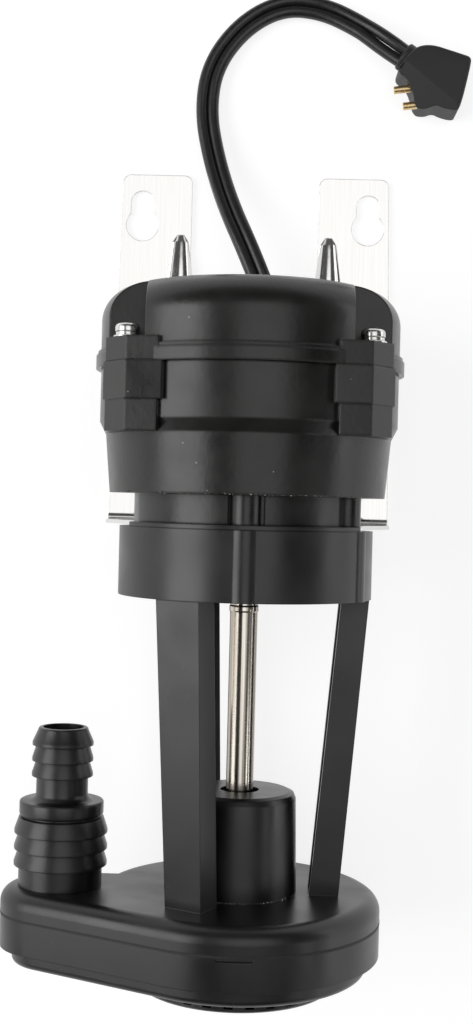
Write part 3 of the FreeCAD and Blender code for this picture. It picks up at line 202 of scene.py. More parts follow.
def mesh_object(name, vertices, faces, smooth=True):
    """A new object from corner places in metres and faces of corner numbers."""
    mesh = bpy.data.meshes.new(name)
    mesh.from_pydata(vertices, [], faces)
    mesh.validate()
    if smooth:
        mesh.shade_smooth()
    made = bpy.data.objects.new(name, mesh)
    bpy.context.scene.collection.objects.link(made)
    return made


def twin_cord(name, path):
    """Both cores along a path, as closed tubes in one mesh."""
    vertices, faces = [], []
    way = way_along(path)
    length = way[-1][2]
    for side in (-1, 1):
        start = len(vertices)
        for point, heading, gone in way:
            share = max(0.0, 1 - (length - gone) / PARTED_LENGTH)
            part = math.sin(math.pi * share)
            across = UP.cross(heading).normalized()
            rise = heading.cross(across).normalized()
            for out, high in core_outline():
                wide = side * (out + PARTED_GAP * part)
                vertices.append(point + across * wide + rise * (high + side * PARTED_RISE * part))
        for ring in range(len(path) - 1):
            here = start + ring * CORE_CORNERS
            there = here + CORE_CORNERS
            for corner in range(CORE_CORNERS):
                beside = (corner + 1) % CORE_CORNERS
                square = [here + corner, here + beside, there + beside, there + corner]
                faces.append(square if side > 0 else square[::-1])
        first = [start + corner for corner in range(CORE_CORNERS)]
        last = [there + corner for corner in range(CORE_CORNERS)]
        faces += [first[::-1], last] if side > 0 else [first, last[::-1]]
    return mesh_object(name, vertices, faces)


cord = twin_cord("supply_cord", cord_path)
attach(cord, "pump")
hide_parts("power_cord")
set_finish(cord, "cord_pvc")

# %% [markdown]
# ## Round pieces
#
# Most pieces of a pump are turned or moulded round a line, so one tool makes them: an outline of radius
# and height is spun round a line along Y. The sweep can stop short of a full turn, and then its two
# ends are closed. An outline that comes to the middle stops a hair from it, so that no face is a line.

# %% Make a lathe
SHAFT_LOW, SHAFT_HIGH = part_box("motor_shaft")
SHAFT_RADIUS = (SHAFT_HIGH.x - SHAFT_LOW.x) / 2
PUMP_AXIS = Vector(((SHAFT_LOW.x + SHAFT_HIGH.x) / 2, 0, (SHAFT_LOW.z + SHAFT_HIGH.z) / 2))
NEAR_AXIS = 0.001


def lathe(name, outline, centre, sweep=(0, 360), steps=64):
    """A closed shape spun from radius and height pairs in mm; angle 0 faces the camera."""
    whole = sweep[1] - sweep[0] == 360
    turns = steps if whole else steps + 1
    count = len(outline)
    vertices = []
    for step in range(turns):
        angle = math.radians(sweep[0] + (sweep[1] - sweep[0]) * step / steps)
        vertices += [centre + MM * Vector((radius * math.sin(angle), height, radius * math.cos(angle)))
                     for radius, height in outline]
    faces = []
    for step in range(steps):
        ahead = (step + 1) % turns
        for corner in range(count):
            beside = (corner + 1) % count
            faces.append((step * count + corner, step * count + beside,
                          ahead * count + beside, ahead * count + corner))
    if not whole:
        faces += [tuple(reversed(range(count))), tuple(range(steps * count, turns * count))]
    return mesh_object(name, vertices, faces)


def rounded(radius, height, size, start, steps=5):
    """Points of a quarter circle about a corner's inner centre, from a start angle in degrees."""
    return [(radius + size * math.cos(math.radians(start + 90 * i / steps)),
             height + size * math.sin(math.radians(start + 90 * i / steps))) for i in range(steps + 1)]


def quarter(steps):
    """How far a quarter circle's points lie from its corner, out and up, as shares of its radius."""
    turns = [math.radians(90 * i / steps) for i in range(steps + 1)]
    return [(1 - math.cos(turn), 1 - math.sin(turn)) for turn in turns]


def keep_creases(piece, angle=30):
    """Smooth shading, apart from edges sharper than an angle."""
    piece.data.shade_smooth()
    piece.data.set_sharp_from_angle(angle=math.radians(angle))


print("pump axis in mm:", [round(value / MM, 1) for value in PUMP_AXIS])

# %% [markdown]
# ## The lip on the shaft
#
# Just under the collar the shaft has a small bright lip, a rolled edge that stands barely proud of the
# steel. It turns with the shaft.

# %% Turn the shaft's lip
LIP_PROUD = 0.25
LIP_HIGH, LIP_LOW = -66.3, -68.7
LIP_ROUND = 0.7


def rolled_lip():
    """A ring with both outer edges rolled over."""
    inner = SHAFT_RADIUS / MM - LIP_ROUND
    outer = SHAFT_RADIUS / MM + LIP_PROUD
    outline = [(inner, LIP_HIGH), (inner, LIP_LOW)]
    outline += rounded(outer - LIP_ROUND, LIP_LOW + LIP_ROUND, LIP_ROUND, -90)
    outline += rounded(outer - LIP_ROUND, LIP_HIGH - LIP_ROUND, LIP_ROUND, 0)
    return lathe("shaft_lip", outline, PUMP_AXIS)


shaft_lip = rolled_lip()
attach(shaft_lip, "rotor")
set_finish(shaft_lip, "stainless_shaft")
print("lip stands proud in mm:", LIP_PROUD)

# %% [markdown]
# ## The hose tail
#
# The outlet takes a small hose or a large one. Each size has three barbs, which are cones that a hose
# slides over one way only, with a disc between them that stops the small hose. Every barb has the same
# form, so a loop steps down the tail and adds one at each edge.

# %% Shape a barb
SMALL_BARB, SMALL_WAIST, SMALL_NECK = 8.8, 7.7, 7.45
SMALL_EDGES = (-108.2, -112.7, -117.1)
BIG_BARB, BIG_WAIST, BIG_ROOT = 13.4, 12.2, 12.0
BIG_EDGES = (-133.3, -137.9, -142.5)
BARB_LIP, BARB_STEP = 0.9, 0.15


def barbs(edges, waist, tip, under):
    """Each barb: a cone down to its tip, a short straight lip, and a step back in."""
    points = []
    for number, edge in enumerate(edges):
        below = waist if number < len(edges) - 1 else under
        points += [(tip, edge + BARB_LIP), (tip, edge), (below, edge - BARB_STEP)]
    return points


print("points of the small barbs:", len(barbs(SMALL_EDGES, SMALL_WAIST, SMALL_BARB, SMALL_NECK)))

# %% Turn the hose tail
TAIL_X = -51.3
TAIL_MOUTH, TAIL_FOOT = -103.1, -148.5
TAIL_BORE = 5.9
SMALL_MOUTH = SMALL_WAIST - 0.5
STOP_DISC, STOP_HIGH, STOP_LOW = 12.1, -124.1, -128.2
STOP_GROOVE = BIG_ROOT - 0.9
GROOVE_LOW, BIG_SHOULDER = STOP_LOW - 0.5, STOP_LOW - 0.7
MOUTH_ROUND = 0.6
NECK_FLARE = 2.2


def hose_tail():
    """The tail from its mouth down to its foot, with the bore through it."""
    outline = [(TAIL_BORE, TAIL_FOOT), (TAIL_BORE, TAIL_MOUTH)]
    outline += rounded(SMALL_MOUTH - MOUTH_ROUND, TAIL_MOUTH - MOUTH_ROUND, MOUTH_ROUND, 0)[::-1]
    outline += barbs(SMALL_EDGES, SMALL_WAIST, SMALL_BARB, SMALL_NECK)
    outline += [(SMALL_NECK + NECK_FLARE * out, STOP_HIGH + NECK_FLARE * up) for out, up in quarter(steps=6)]
    outline += rounded(STOP_DISC - MOUTH_ROUND, STOP_HIGH - MOUTH_ROUND, MOUTH_ROUND, 0)[::-1]
    outline += rounded(STOP_DISC - MOUTH_ROUND, STOP_LOW + MOUTH_ROUND, MOUTH_ROUND, -90)[::-1]
    outline += [(STOP_GROOVE, STOP_LOW), (STOP_GROOVE, GROOVE_LOW), (BIG_WAIST, BIG_SHOULDER)]
    outline += barbs(BIG_EDGES, BIG_WAIST, BIG_BARB, BIG_ROOT)
    outline += [(BIG_ROOT, TAIL_FOOT)]
    return lathe("hose_tail", outline, Vector((TAIL_X * MM, 0, PUMP_AXIS.z)), steps=72)


tail = hose_tail()
keep_creases(tail, 20)
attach(tail, "pump")
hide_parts("outlet_barb")
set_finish(tail, "moulded_nylon")
print("hose tail:", len(SMALL_EDGES), "small barbs and", len(BIG_EDGES), "big ones")

# %% [markdown]
# ## The motor's cap
#
# The photograph shows a cap that is a little flatter than the ready-made solid, with lugs that stop
# lower. A new cap could be modelled from nothing, but the solid already has the right outline, so a copy
# of it is eased along the axis: each height moves to a new one, in proportion between a few pairs.

# %% Ease a copy of the cap
CAP_HEIGHTS = ((0.0, 0.0), (4.8, 4.8), (8.0, 6.6), (28.2, 25.1))


def eased(height):
    """The new height of an old one."""
    for (low, new_low), (high, new_high) in zip(CAP_HEIGHTS, CAP_HEIGHTS[1:]):
        if height <= high:
            return new_low + (height - low) * (new_high - new_low) / (high - low)
    return CAP_HEIGHTS[-1][1]


def eased_copy(name, node):
    """A ready-made solid's mesh with every corner at its new height."""
    solid = frame["nodes"][node]
    places = [solid.matrix_world @ vertex.co for vertex in solid.data.vertices]
    vertices = [Vector((place.x, MM * eased(place.y / MM), place.z)) for place in places]
    return mesh_object(name, vertices, [tuple(face.vertices) for face in solid.data.polygons])


cap_shell = eased_copy("cap_shell", "motor_end_cap")
keep_creases(cap_shell, 25)
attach(cap_shell, "pump")
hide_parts("motor_end_cap")
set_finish(cap_shell, "painted_casting")
print("cap height in mm:", CAP_HEIGHTS[-1][1])

# %% [markdown]
# ## Screws
#
# Four pan-head screws hold the cap, each on a spring washer and a flat washer. Head, washers and shank
# are turned. The cross in the head is punched, so it is cut with two crossed wedges. Screws that were
# driven home by hand stop at any turn, so no two crosses stand alike.

# %% Make the punch for the crosses
CROSS_LONG, CROSS_WIDE, CROSS_DEEP = 3.6, 0.85, 1.3
PUNCH_OVER, PUNCH_TIP = 0.4, 0.45
SQUARE = ((-1, -1), (1, -1), (1, 1), (-1, 1))
BOX_SIDES = [(0, 1, 2, 3), (7, 6, 5, 4), (0, 4, 5, 1), (1, 5, 6, 2), (2, 6, 7, 3), (3, 7, 4, 0)]


def punch_blade(centre, turn):
    """A tapered blade of the punch, wide at the head's top and narrow below."""
    vertices = []
    for share, low in ((1.0, PUNCH_OVER), (PUNCH_TIP, -CROSS_DEEP)):
        for x, z in SQUARE:
            place = Vector((x * CROSS_LONG / 2 * share, low, z * CROSS_WIDE / 2 * share)) * MM
            place.rotate(Matrix.Rotation(math.radians(turn), 3, "Y"))
            vertices.append(centre + place)
    return mesh_object("blade", vertices, BOX_SIDES, False)


def carve(piece, cutter):
    """Cuts one closed shape out of another."""
    cut = piece.modifiers.new("cut", "BOOLEAN")
    cut.operation, cut.object, cut.solver = "DIFFERENCE", cutter, "EXACT"
    bpy.context.view_layer.update()
    carved = bpy.data.meshes.new_from_object(piece.evaluated_get(bpy.context.evaluated_depsgraph_get()))
    piece.modifiers.clear()
    piece.data = carved
    bpy.data.objects.remove(cutter)


print("the cross is", CROSS_LONG, "mm long and", CROSS_DEEP, "mm deep")

# %% Set the four screws
SCREW_PLACES = [(x, z) for x in (-33.3, 33.3) for z in (-25.0, 25.0)]
LUG_TOP = CAP_HEIGHTS[2][1]
WASHER_HOLE, WASHER_EDGE = 2.1, 0.15
FLAT_RADIUS, FLAT_THICK = 3.8, 0.8
SPRING_RADIUS, SPRING_THICK = 3.15, 1.0
HEAD_RADIUS, HEAD_HEIGHT, HEAD_ROUND, HEAD_CROWN = 3.35, 2.7, 1.2, 0.35
HEAD_EDGE = 0.2
CROWN_RADIUS, CROWN_FALL = 1.2, 0.1
SHANK_RADIUS, SHANK_END = 1.95, -13.0
SCREW_TURN = 37
SCREW_STEPS = 40


def washer(name, radius, low, high, centre):
    """A flat ring with its outer edges broken."""
    outline = [(WASHER_HOLE, low), (radius - WASHER_EDGE, low), (radius, low + WASHER_EDGE),
               (radius, high - WASHER_EDGE), (radius - WASHER_EDGE, high), (WASHER_HOLE, high)]
    return lathe(name, outline, centre, steps=SCREW_STEPS)


def pan_screw(number, place):
    """A screw with its two washers, at a place beside the pump's axis."""
    centre = PUMP_AXIS + MM * Vector((place[0], 0, place[1]))
    seat = LUG_TOP + FLAT_THICK + SPRING_THICK
    top = seat + HEAD_HEIGHT
    outline = [(NEAR_AXIS, SHANK_END), (SHANK_RADIUS, SHANK_END), (SHANK_RADIUS, seat),
               (HEAD_RADIUS - HEAD_EDGE, seat), (HEAD_RADIUS, seat + HEAD_EDGE)]
    outline += rounded(HEAD_RADIUS - HEAD_ROUND, top - HEAD_CROWN - HEAD_ROUND, HEAD_ROUND, 0)
    outline += [(CROWN_RADIUS, top - CROWN_FALL), (NEAR_AXIS, top)]
    screw = lathe(f"cap_screw_{number}", outline, centre, steps=SCREW_STEPS)
    for blade in (0, 90):
        carve(screw, punch_blade(centre + Vector((0, MM * top, 0)), blade + SCREW_TURN * number))
    keep_creases(screw)
    flat = washer(f"flat_washer_{number}", FLAT_RADIUS, LUG_TOP, LUG_TOP + FLAT_THICK, centre)
    spring = washer(f"spring_washer_{number}", SPRING_RADIUS, seat - SPRING_THICK, seat, centre)
    keep_creases(flat)
    keep_creases(spring)
    return screw, flat, spring


hardware = []
for number, place in enumerate(SCREW_PLACES):
    screw, flat, spring = pan_screw(number, place)
    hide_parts("end_cap_screws")
    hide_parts("end_cap_washers")
    hardware += [screw, flat, spring]
for piece in hardware:
    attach(piece, "pump")
    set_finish(piece, "zinc_screws")
print("screws and washers:", len(hardware))

# %% [markdown]
# ## The rim over the collar, and the painted shade in the seam
#
# The bracket's shelf is clamped between the motor's foot and the collar, inside a low rim, so from the
# front only a dark line shows there. The casing's two halves meet in a thin seam. Its shade is painted
# by a black rubber strip that stands barely proud, and that strip is the fine black line round the casing.
# The rim follows an arc about the pump's axis, and the strip two arcs joined by their two tangents. The
# casing has that outline on the side that the camera sees. On the table's side it is hollow between the
# arcs, so the strip wrongly spans a gap there.

# %% Turn the rim
RIM_IN, RIM_OUT = 33.6, 36.0
RIM_LOW, RIM_HIGH = -44.45, -43.15
RIM_SWEEP = (-64, 62)

collar_rim = lathe("collar_rim", [(RIM_IN, RIM_LOW), (RIM_OUT, RIM_LOW), (RIM_OUT, RIM_HIGH),
                                  (RIM_IN, RIM_HIGH)], PUMP_AXIS, RIM_SWEEP)
keep_creases(collar_rim)
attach(collar_rim, "pump")
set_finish(collar_rim, "moulded_nylon")
print("rim is", round(RIM_HIGH - RIM_LOW, 2), "mm high")

# %% Lay the strip of painted seam shade
SEAM = -155.9
SEAM_SHADE_HALF = 0.36
SEAM_SHADE_PROUD, SEAM_SHADE_DEPTH = 0.06, 0.8
CASING_RADIUS, ARM_RADIUS = 41.1, 16.9
CASING_STEPS, ARM_STEPS = 72, 60


def casing_line(offset, height):
    """Points round the casing's edge: the big arc, then the arm's arc, with the tangents between."""
    split = math.degrees(math.acos((CASING_RADIUS - ARM_RADIUS) / TAIL_X))
    turns = [(split * i / CASING_STEPS, 0, CASING_RADIUS) for i in range(-CASING_STEPS, CASING_STEPS + 1)]
    turns += [(split + (360 - 2 * split) * i / ARM_STEPS, TAIL_X, ARM_RADIUS) for i in range(ARM_STEPS + 1)]
    return [PUMP_AXIS + MM * Vector((middle + (radius + offset) * math.cos(math.radians(turn)), height,
                                     (radius + offset) * math.sin(math.radians(turn))))
            for turn, middle, radius in turns]


def seam_shade_strip():
    """A black band of four sides that runs round the casing's seam and stands barely proud of it, as painted
    shade.
    """
    sides = [(SEAM_SHADE_PROUD, SEAM - SEAM_SHADE_HALF), (SEAM_SHADE_PROUD, SEAM + SEAM_SHADE_HALF),
             (-SEAM_SHADE_DEPTH, SEAM + SEAM_SHADE_HALF), (-SEAM_SHADE_DEPTH, SEAM - SEAM_SHADE_HALF)]
    lines = [casing_line(offset, height) for offset, height in sides]
    count = len(lines[0])
    vertices = [place for line in lines for place in line]
    faces = [(side * count + i, side * count + (i + 1) % count,
              (side + 1) % 4 * count + (i + 1) % count, (side + 1) % 4 * count + i)
             for side in range(4) for i in range(count)]
    return mesh_object("seam_shade_strip", vertices, faces, False)


# The black strip in the seam is painted shade of the gap between the casing's two halves.
seam_shade = seam_shade_strip()
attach(seam_shade, "pump")
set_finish(seam_shade, "black_rubber")
print("gasket shows", 2 * SEAM_SHADE_HALF, "mm wide")

# %% [markdown]
# ## The strainer
#
# Water comes in at the bottom, through a cage with a ring of small slots in its side. Slots could be cut
# out of a wall one by one, but a wall built of an upper ring, a row of short posts and a floor has the
# same slots, and each post is the same short sweep of the lathe.

# %% Build the strainer's cage
CAGE_RADIUS, CAGE_WALL = 28.6, 2.0
CAGE_TOP, SLOT_TOP, SLOT_LOW, CAGE_LOW = -168.8, -171.9, -173.7, -174.8
CAGE_POSTS = 31
POST_SHARE, POST_STEPS = 0.55, 3
CAGE_STEPS = CAGE_POSTS * POST_STEPS
PEG_RADIUS, PEG_PLACE, PEG_LOW = 1.6, 24.5, -175.5
CAGE_ROUND = 0.5


def joined(name, parts):
    """Several closed shapes as one mesh."""
    vertices, faces = [], []
    for part in parts:
        first = len(vertices)
        vertices += [vertex.co.copy() for vertex in part.data.vertices]
        faces += [tuple(first + corner for corner in face.vertices) for face in part.data.polygons]
        bpy.data.objects.remove(part)
    return mesh_object(name, vertices, faces)


def strainer_cage():
    """The cage with its posts, and a locating peg under its front edge."""
    inner = CAGE_RADIUS - CAGE_WALL
    upper = lathe("upper", [(inner, SLOT_TOP), (CAGE_RADIUS, SLOT_TOP), (CAGE_RADIUS, CAGE_TOP),
                            (inner, CAGE_TOP)], PUMP_AXIS, steps=CAGE_STEPS)
    floor = lathe("floor", [(NEAR_AXIS, CAGE_LOW), (CAGE_RADIUS - CAGE_ROUND, CAGE_LOW),
                            (CAGE_RADIUS, CAGE_LOW + CAGE_ROUND), (CAGE_RADIUS, SLOT_LOW),
                            (NEAR_AXIS, SLOT_LOW)], PUMP_AXIS, steps=CAGE_STEPS)
    pitch = 360 / CAGE_POSTS
    section = [(inner, SLOT_LOW), (CAGE_RADIUS, SLOT_LOW), (CAGE_RADIUS, SLOT_TOP), (inner, SLOT_TOP)]
    posts = [lathe("post", section, PUMP_AXIS, (pitch * i, pitch * (i + POST_SHARE)), POST_STEPS)
             for i in range(CAGE_POSTS)]
    peg = lathe("peg", [(NEAR_AXIS, PEG_LOW), (PEG_RADIUS, PEG_LOW), (PEG_RADIUS, SLOT_LOW),
                        (NEAR_AXIS, SLOT_LOW)], PUMP_AXIS + Vector((0, 0, PEG_PLACE * MM)), steps=24)
    return joined("strainer_cage", [upper, floor, *posts, peg])


cage = strainer_cage()
keep_creases(cage)
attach(cage, "pump")
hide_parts("inlet_strainer")
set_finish(cage, "moulded_nylon")
print("slots in the cage:", CAGE_POSTS)

# %% [markdown]
# ## The plug's body
#
# The plug is moulded round the end of the cord and round the pins, so all its corners are soft. A ring
# closes it round the cord, and the top falls away towards the pins, so that fingers can grip it. The
# sharp outline is rounded by cutting every corner off three times, and is then laid in rings from the
# table to the top, each of the upper ones a little smaller. A wedge cuts the slope.

# %% Draw the plug's outline
PLUG_CORNERS = [
    (50.4, 107.7), (63.1, 103.9), (65.9, 103.0), (65.9, 100.7), (62.9, 87.0), (61.4, 86.4),
    (57.8, 87.2), (55.4, 88.4), (52.8, 87.3), (49.4, 87.7), (48.1, 93.3), (46.2, 96.4), (43.4, 98.0),
    (43.9, 100.9),
]
CORNER_CUTS = 3


def softened(corners):
    """An outline after each corner is cut off, at a quarter of the sides, a few times over."""
    for _ in range(CORNER_CUTS):
        corners = [point for a, b in zip(corners, corners[1:] + corners[:1])
                   for point in (a.lerp(b, 0.25), a.lerp(b, 0.75))]
    return corners


def inset(corners, amount):
    """A clockwise outline moved inwards."""
    moved = []
    for before, here, after in zip(corners[-1:] + corners[:-1], corners, corners[1:] + corners[:1]):
        along = (after - before).normalized()
        moved.append(here + Vector((along.y, -along.x)) * amount)
    return moved


plug_edge = softened([Vector(corner) for corner in PLUG_CORNERS])
print("points of the plug's outline:", len(plug_edge))

# %% Mould the plug's body
FOOT_ROUND, PLUG_ROUND = 0.4, 1.2
CORD_RING = [(NEAR_AXIS, -2.2), (4.5, -2.2), (4.5, 1.8), (4.1, 2.2), (NEAR_AXIS, 2.2)]
CORD_RING_PLACE = (46.9, 103.3, 8.0)
CORD_RING_TURN = 56
RIDGE_ENDS = ((45.4, 101.3), (65.6, 85.4))
SLOPE_WIDE, SLOPE_DROP, SLOPE_OVER = 12.0, 6.6, 2.0


def plug_block(base, top):
    """The outline in rings: one set in at the foot, then straight sides and a rounded upper edge."""
    levels = [(FOOT_ROUND, base), (0.0, base + FOOT_ROUND)]
    levels += [(PLUG_ROUND * out, top - PLUG_ROUND * up) for out, up in quarter(steps=5)]
    count = len(plug_edge)
    vertices = [MM * Vector((*place, height)) for amount, height in levels
                for place in inset(plug_edge, amount)]
    faces = [(ring * count + (i + 1) % count, ring * count + i,
              (ring + 1) * count + i, (ring + 1) * count + (i + 1) % count)
             for ring in range(len(levels) - 1) for i in range(count)]
    last = (len(levels) - 1) * count
    faces += [tuple(range(count)), tuple(reversed(range(last, last + count)))]
    return mesh_object("block", vertices, faces)


def cord_ring():
    """The ring round the cord, turned to face the way that the cord comes."""
    ring = lathe("ring", CORD_RING, Vector((0, 0, 0)), steps=40)
    ring.data.transform(Matrix.Translation(MM * Vector(CORD_RING_PLACE))
                        @ Matrix.Rotation(math.radians(CORD_RING_TURN), 4, "Z"))
    return ring


def slope_wedge(top):
    """What the slope leaves off: from the ridge outwards, above a falling plane."""
    ends = [Vector((*end, top)) for end in RIDGE_ENDS]
    outward = (ends[1] - ends[0]).cross(UP).normalized() * SLOPE_WIDE
    vertices = [MM * (end + shift) for end in ends
                for shift in (UP * 0, outward - UP * SLOPE_DROP, outward + UP * SLOPE_OVER, UP * SLOPE_OVER)]
    return mesh_object("slope", vertices, BOX_SIDES, False)


PLUG_LOW, PLUG_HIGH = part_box("plug_body")
block = plug_block(PLUG_LOW.z / MM, PLUG_HIGH.z / MM)
carve(block, slope_wedge(PLUG_HIGH.z / MM))
plug_shell = joined("plug_shell", [block, cord_ring()])
keep_creases(plug_shell, 25)
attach(plug_shell, "pump")
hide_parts("plug_body")
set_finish(plug_shell, "plug_pvc")
print("plug is", round((PLUG_HIGH.z - PLUG_LOW.z) / MM, 1), "mm high")

# %% [markdown]
# ## Flash and beads of enamel
#
# Where the mould's core meets its plate, a little nylon creeps out and tears into pale crumbs. Wet
# enamel runs down the housing too and dries in beads along its lower edge. These beads are coloured pale
# grey, which paints the glints on them as a painted highlight. Both are small four-sided chips strewn
# round a circle, thick in some places and thin in others, because even spacing would look like stitching.

# %% Strew the crumbs
FLASH = {"seed": 7, "count": 60, "radius": 17.1, "height": TAIL_FOOT, "sweep": (-62, 66),
         "thick_at": (-48, 12, 55), "sizes": (0.15, 0.6)}
BEADS = {"seed": 3, "count": 90, "radius": 39.6, "height": -35.0, "sweep": (-62, 64),
         "thick_at": (-30, -8, 20, 50), "sizes": (0.15, 0.45)}
CRUMB_LIFT = 0.3


def crumbs(name, seed, count, radius, height, sweep, thick_at, sizes):
    """Closed chips strewn along an arc that faces the camera; radius and height in mm."""
    dice = random.Random(seed)
    vertices, faces = [], []
    for _ in range(count):
        turn = math.radians(dice.triangular(*sweep, dice.choice(thick_at)))
        size = dice.uniform(*sizes)
        middle = PUMP_AXIS + MM * Vector((radius * math.sin(turn), height + CRUMB_LIFT * size,
                                          radius * math.cos(turn)))
        first = len(vertices)
        vertices += [middle + MM * size * Vector([dice.uniform(-1, 1) for _ in range(3)]) for _ in range(4)]
        faces += [tuple(first + i for i in corners)
                  for corners in ((0, 1, 2), (0, 3, 1), (1, 3, 2), (2, 3, 0))]
    return mesh_object(name, vertices, faces, False)


flash = crumbs("moulding_flash", **FLASH)
beads = crumbs("enamel_beads", **BEADS)
for piece, finish in ((flash, "moulded_nylon"), (beads, "painted_casting")):
    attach(piece, "pump")
    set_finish(piece, finish)
print("crumbs:", FLASH["count"] + BEADS["count"])

# %% [markdown]
# ## Colour and nodes
#
# Colours are written as the sRGB hex values that a paint program shows. The renderer works with linear
# light, so one function turns them. One more function adds a node with its settings and links, and every
# material below is built from those two.

# %% Turn colours and add nodes
def linear(code):
    """A hex sRGB colour as the linear red, green, blue and alpha that a shader takes."""
    channels = [int(code[i:i + 2], 16) / 255 for i in (1, 3, 5)]
    return (*(c / 12.92 if c <= 0.04045 else ((c + 0.055) / 1.055) ** 2.4 for c in channels), 1)


def add(tree, kind, inputs=None, **settings):
    """Adds a node. Inputs are sockets to link or plain values, by name or number."""
    made = tree.nodes.new(kind)
    for name, value in settings.items():
        setattr(made, name, value)
    for name, value in (inputs or {}).items():
        if isinstance(value, bpy.types.NodeSocket):
            tree.links.new(value, made.inputs[name])
        else:
            made.inputs[name].default_value = value
    return made


def material(name, **sockets):
    """A material with one shader, whose plain sockets are set by name."""
    made = bpy.data.materials.new(name)
    made.use_nodes = True
    shader = made.node_tree.nodes["Principled BSDF"]
    for socket, value in sockets.items():
        shader.inputs[socket.title().replace("Ior", "IOR")].default_value = value
    return made, made.node_tree, shader


print("black enamel in linear light:", [round(c, 4) for c in linear("#1a1918")[:3]])

# %% [markdown]
# ## Patterns
#
# No real surface is even. A pattern of soft noise, whose cells have a real size, shifts the colour and
# the gloss a little, marks lie over some of the colour, and bumps follow it or a finer pattern. Soft
# noise seldom leaves the middle of its range, so that middle is what gets spread from one tone to the
# other. A mixing node has its two colours in the sockets numbered 6 and 7, and gives output 2.

# %% Make patterns
NOISE_REACH = (0.3, 0.7)


def per_mm(millimetres):
    """The texture scale at which one cell is that long."""
    return 1 / (millimetres * MM)


def grain(tree, cell, stretch=(1, 1, 1), detail=2.0):
    """Noise with cells of a real size, stretched along the object's own axes."""
    place = add(tree, "ShaderNodeTexCoord")
    spread = add(tree, "ShaderNodeMapping", {"Vector": place.outputs["Object"], "Scale": stretch})
    return add(tree, "ShaderNodeTexNoise", {"Vector": spread.outputs[0], "Scale": per_mm(cell),
                                            "Detail": detail}).outputs[0]


def vary(tree, shader, pattern, colours, gloss=None, reach=NOISE_REACH):
    """Shifts the colour between two tones as a pattern goes, and the roughness between two values."""
    share = add(tree, "ShaderNodeMapRange", {"Value": pattern, "From Min": reach[0], "From Max": reach[1]})
    mix = add(tree, "ShaderNodeMix", {0: share.outputs[0], 6: linear(colours[0]), 7: linear(colours[1])},
              data_type="RGBA")
    tree.links.new(mix.outputs[2], shader.inputs["Base Color"])
    if gloss:
        rough = add(tree, "ShaderNodeMapRange", {
            "Value": pattern, "From Min": NOISE_REACH[0], "From Max": NOISE_REACH[1],
            "To Min": gloss[0], "To Max": gloss[1]})
        tree.links.new(rough.outputs[0], shader.inputs["Roughness"])


def mark(tree, shader, pattern, reach, most, colour):
    """Lays marks over the colour that is there, from none to most of them across a pattern's reach."""
    below = shader.inputs["Base Color"].links[0].from_socket
    share = add(tree, "ShaderNodeMapRange", {"Value": pattern, "From Min": reach[0], "From Max": reach[1],
                                             "To Max": most})
    mix = add(tree, "ShaderNodeMix", {0: share.outputs[0], 6: below, 7: linear(colour)}, data_type="RGBA")
    tree.links.new(mix.outputs[2], shader.inputs["Base Color"])


def relief(tree, shader, height, depth, edge=0.0):
    """Bumps of a real depth in millimetres, over edges that are rounded by a real radius."""
    inputs = {"Height": height, "Strength": 1.0, "Distance": depth * MM}
    if edge:
        inputs["Normal"] = add(tree, "ShaderNodeBevel", {"Radius": edge * MM}, samples=4).outputs[0]
    bump = add(tree, "ShaderNodeBump", inputs)
    tree.links.new(bump.outputs[0], shader.inputs["Normal"])


print("a cell of 1 mm needs a scale of", per_mm(1))

# %% [markdown]
# ## Stoved enamel on die-cast aluminium
#
# The motor's two shells are castings, dipped or sprayed with black enamel and baked. The coat is thick,
# so it keeps a faint orange peel and softens the edges, and it shines more than moulded plastic. Bits of
# dust stay in it, which show as a few pale specks.

# %% Make the enamel
ORANGE_PEEL, PEEL_DEPTH = 1.6, 0.03
CASTING_WAVE = 9.0
SPECK_SPACING = 7.0
SPECK_EDGE, SPECK_CORE = 0.035, 0.021
ENAMEL_EDGE = 0.9


def stoved_enamel():
    """A wavy black coat with orange peel. A speck lies in each wide cell, sized by shares of the cell."""
    made, tree, shader = material("stoved_enamel_on_cast_aluminium", ior=1.5)
    vary(tree, shader, grain(tree, CASTING_WAVE), ("#121211", "#1a1918"), gloss=(0.26, 0.36))
    place = add(tree, "ShaderNodeTexCoord")
    cells = add(tree, "ShaderNodeTexVoronoi", {"Vector": place.outputs["Object"],
                                               "Scale": per_mm(SPECK_SPACING), "Randomness": 1.0})
    mark(tree, shader, cells.outputs["Distance"], reach=(SPECK_EDGE, SPECK_CORE), most=1.0, colour="#8d8b86")
    relief(tree, shader, grain(tree, ORANGE_PEEL, detail=1.0), PEEL_DEPTH, edge=ENAMEL_EDGE)
    return made


enamel = stoved_enamel()
print("made", enamel.name)

# %% [markdown]
# ## Glass-filled nylon, injection moulded
#
# The frame, casing, cover, strainer and hose tails are black nylon with short glass fibre, which stands
# up to water. The mould gives a nearly smooth skin with slow flow marks, and the fibres leave it a
# little dull. Their marks are finer than a picture point, so they are drawn coarser here. Handling
# leaves pale rubs, which are long and thin.

# %% Make the nylon
FLOW_MARK = 14.0
FIBRE_SKIN, FIBRE_DEPTH = 0.5, 0.012
RUB_WIDTH, RUB_DRAW = 1.1, (1, 0.25, 1)
NYLON_EDGE = 0.45


def moulded_nylon():
    """Slow flow marks under a few thin rubs, with the fibres' fine skin."""
    made, tree, shader = material("moulded_glass_filled_nylon", ior=1.53)
    vary(tree, shader, grain(tree, FLOW_MARK), ("#0f0f10", "#151516"), gloss=(0.29, 0.40))
    rubs = grain(tree, RUB_WIDTH, RUB_DRAW, detail=3.0)
    mark(tree, shader, rubs, reach=(0.66, 0.8), most=0.25, colour="#474746")
    relief(tree, shader, grain(tree, FIBRE_SKIN), FIBRE_DEPTH, edge=NYLON_EDGE)
    return made


nylon = moulded_nylon()
print("made", nylon.name)

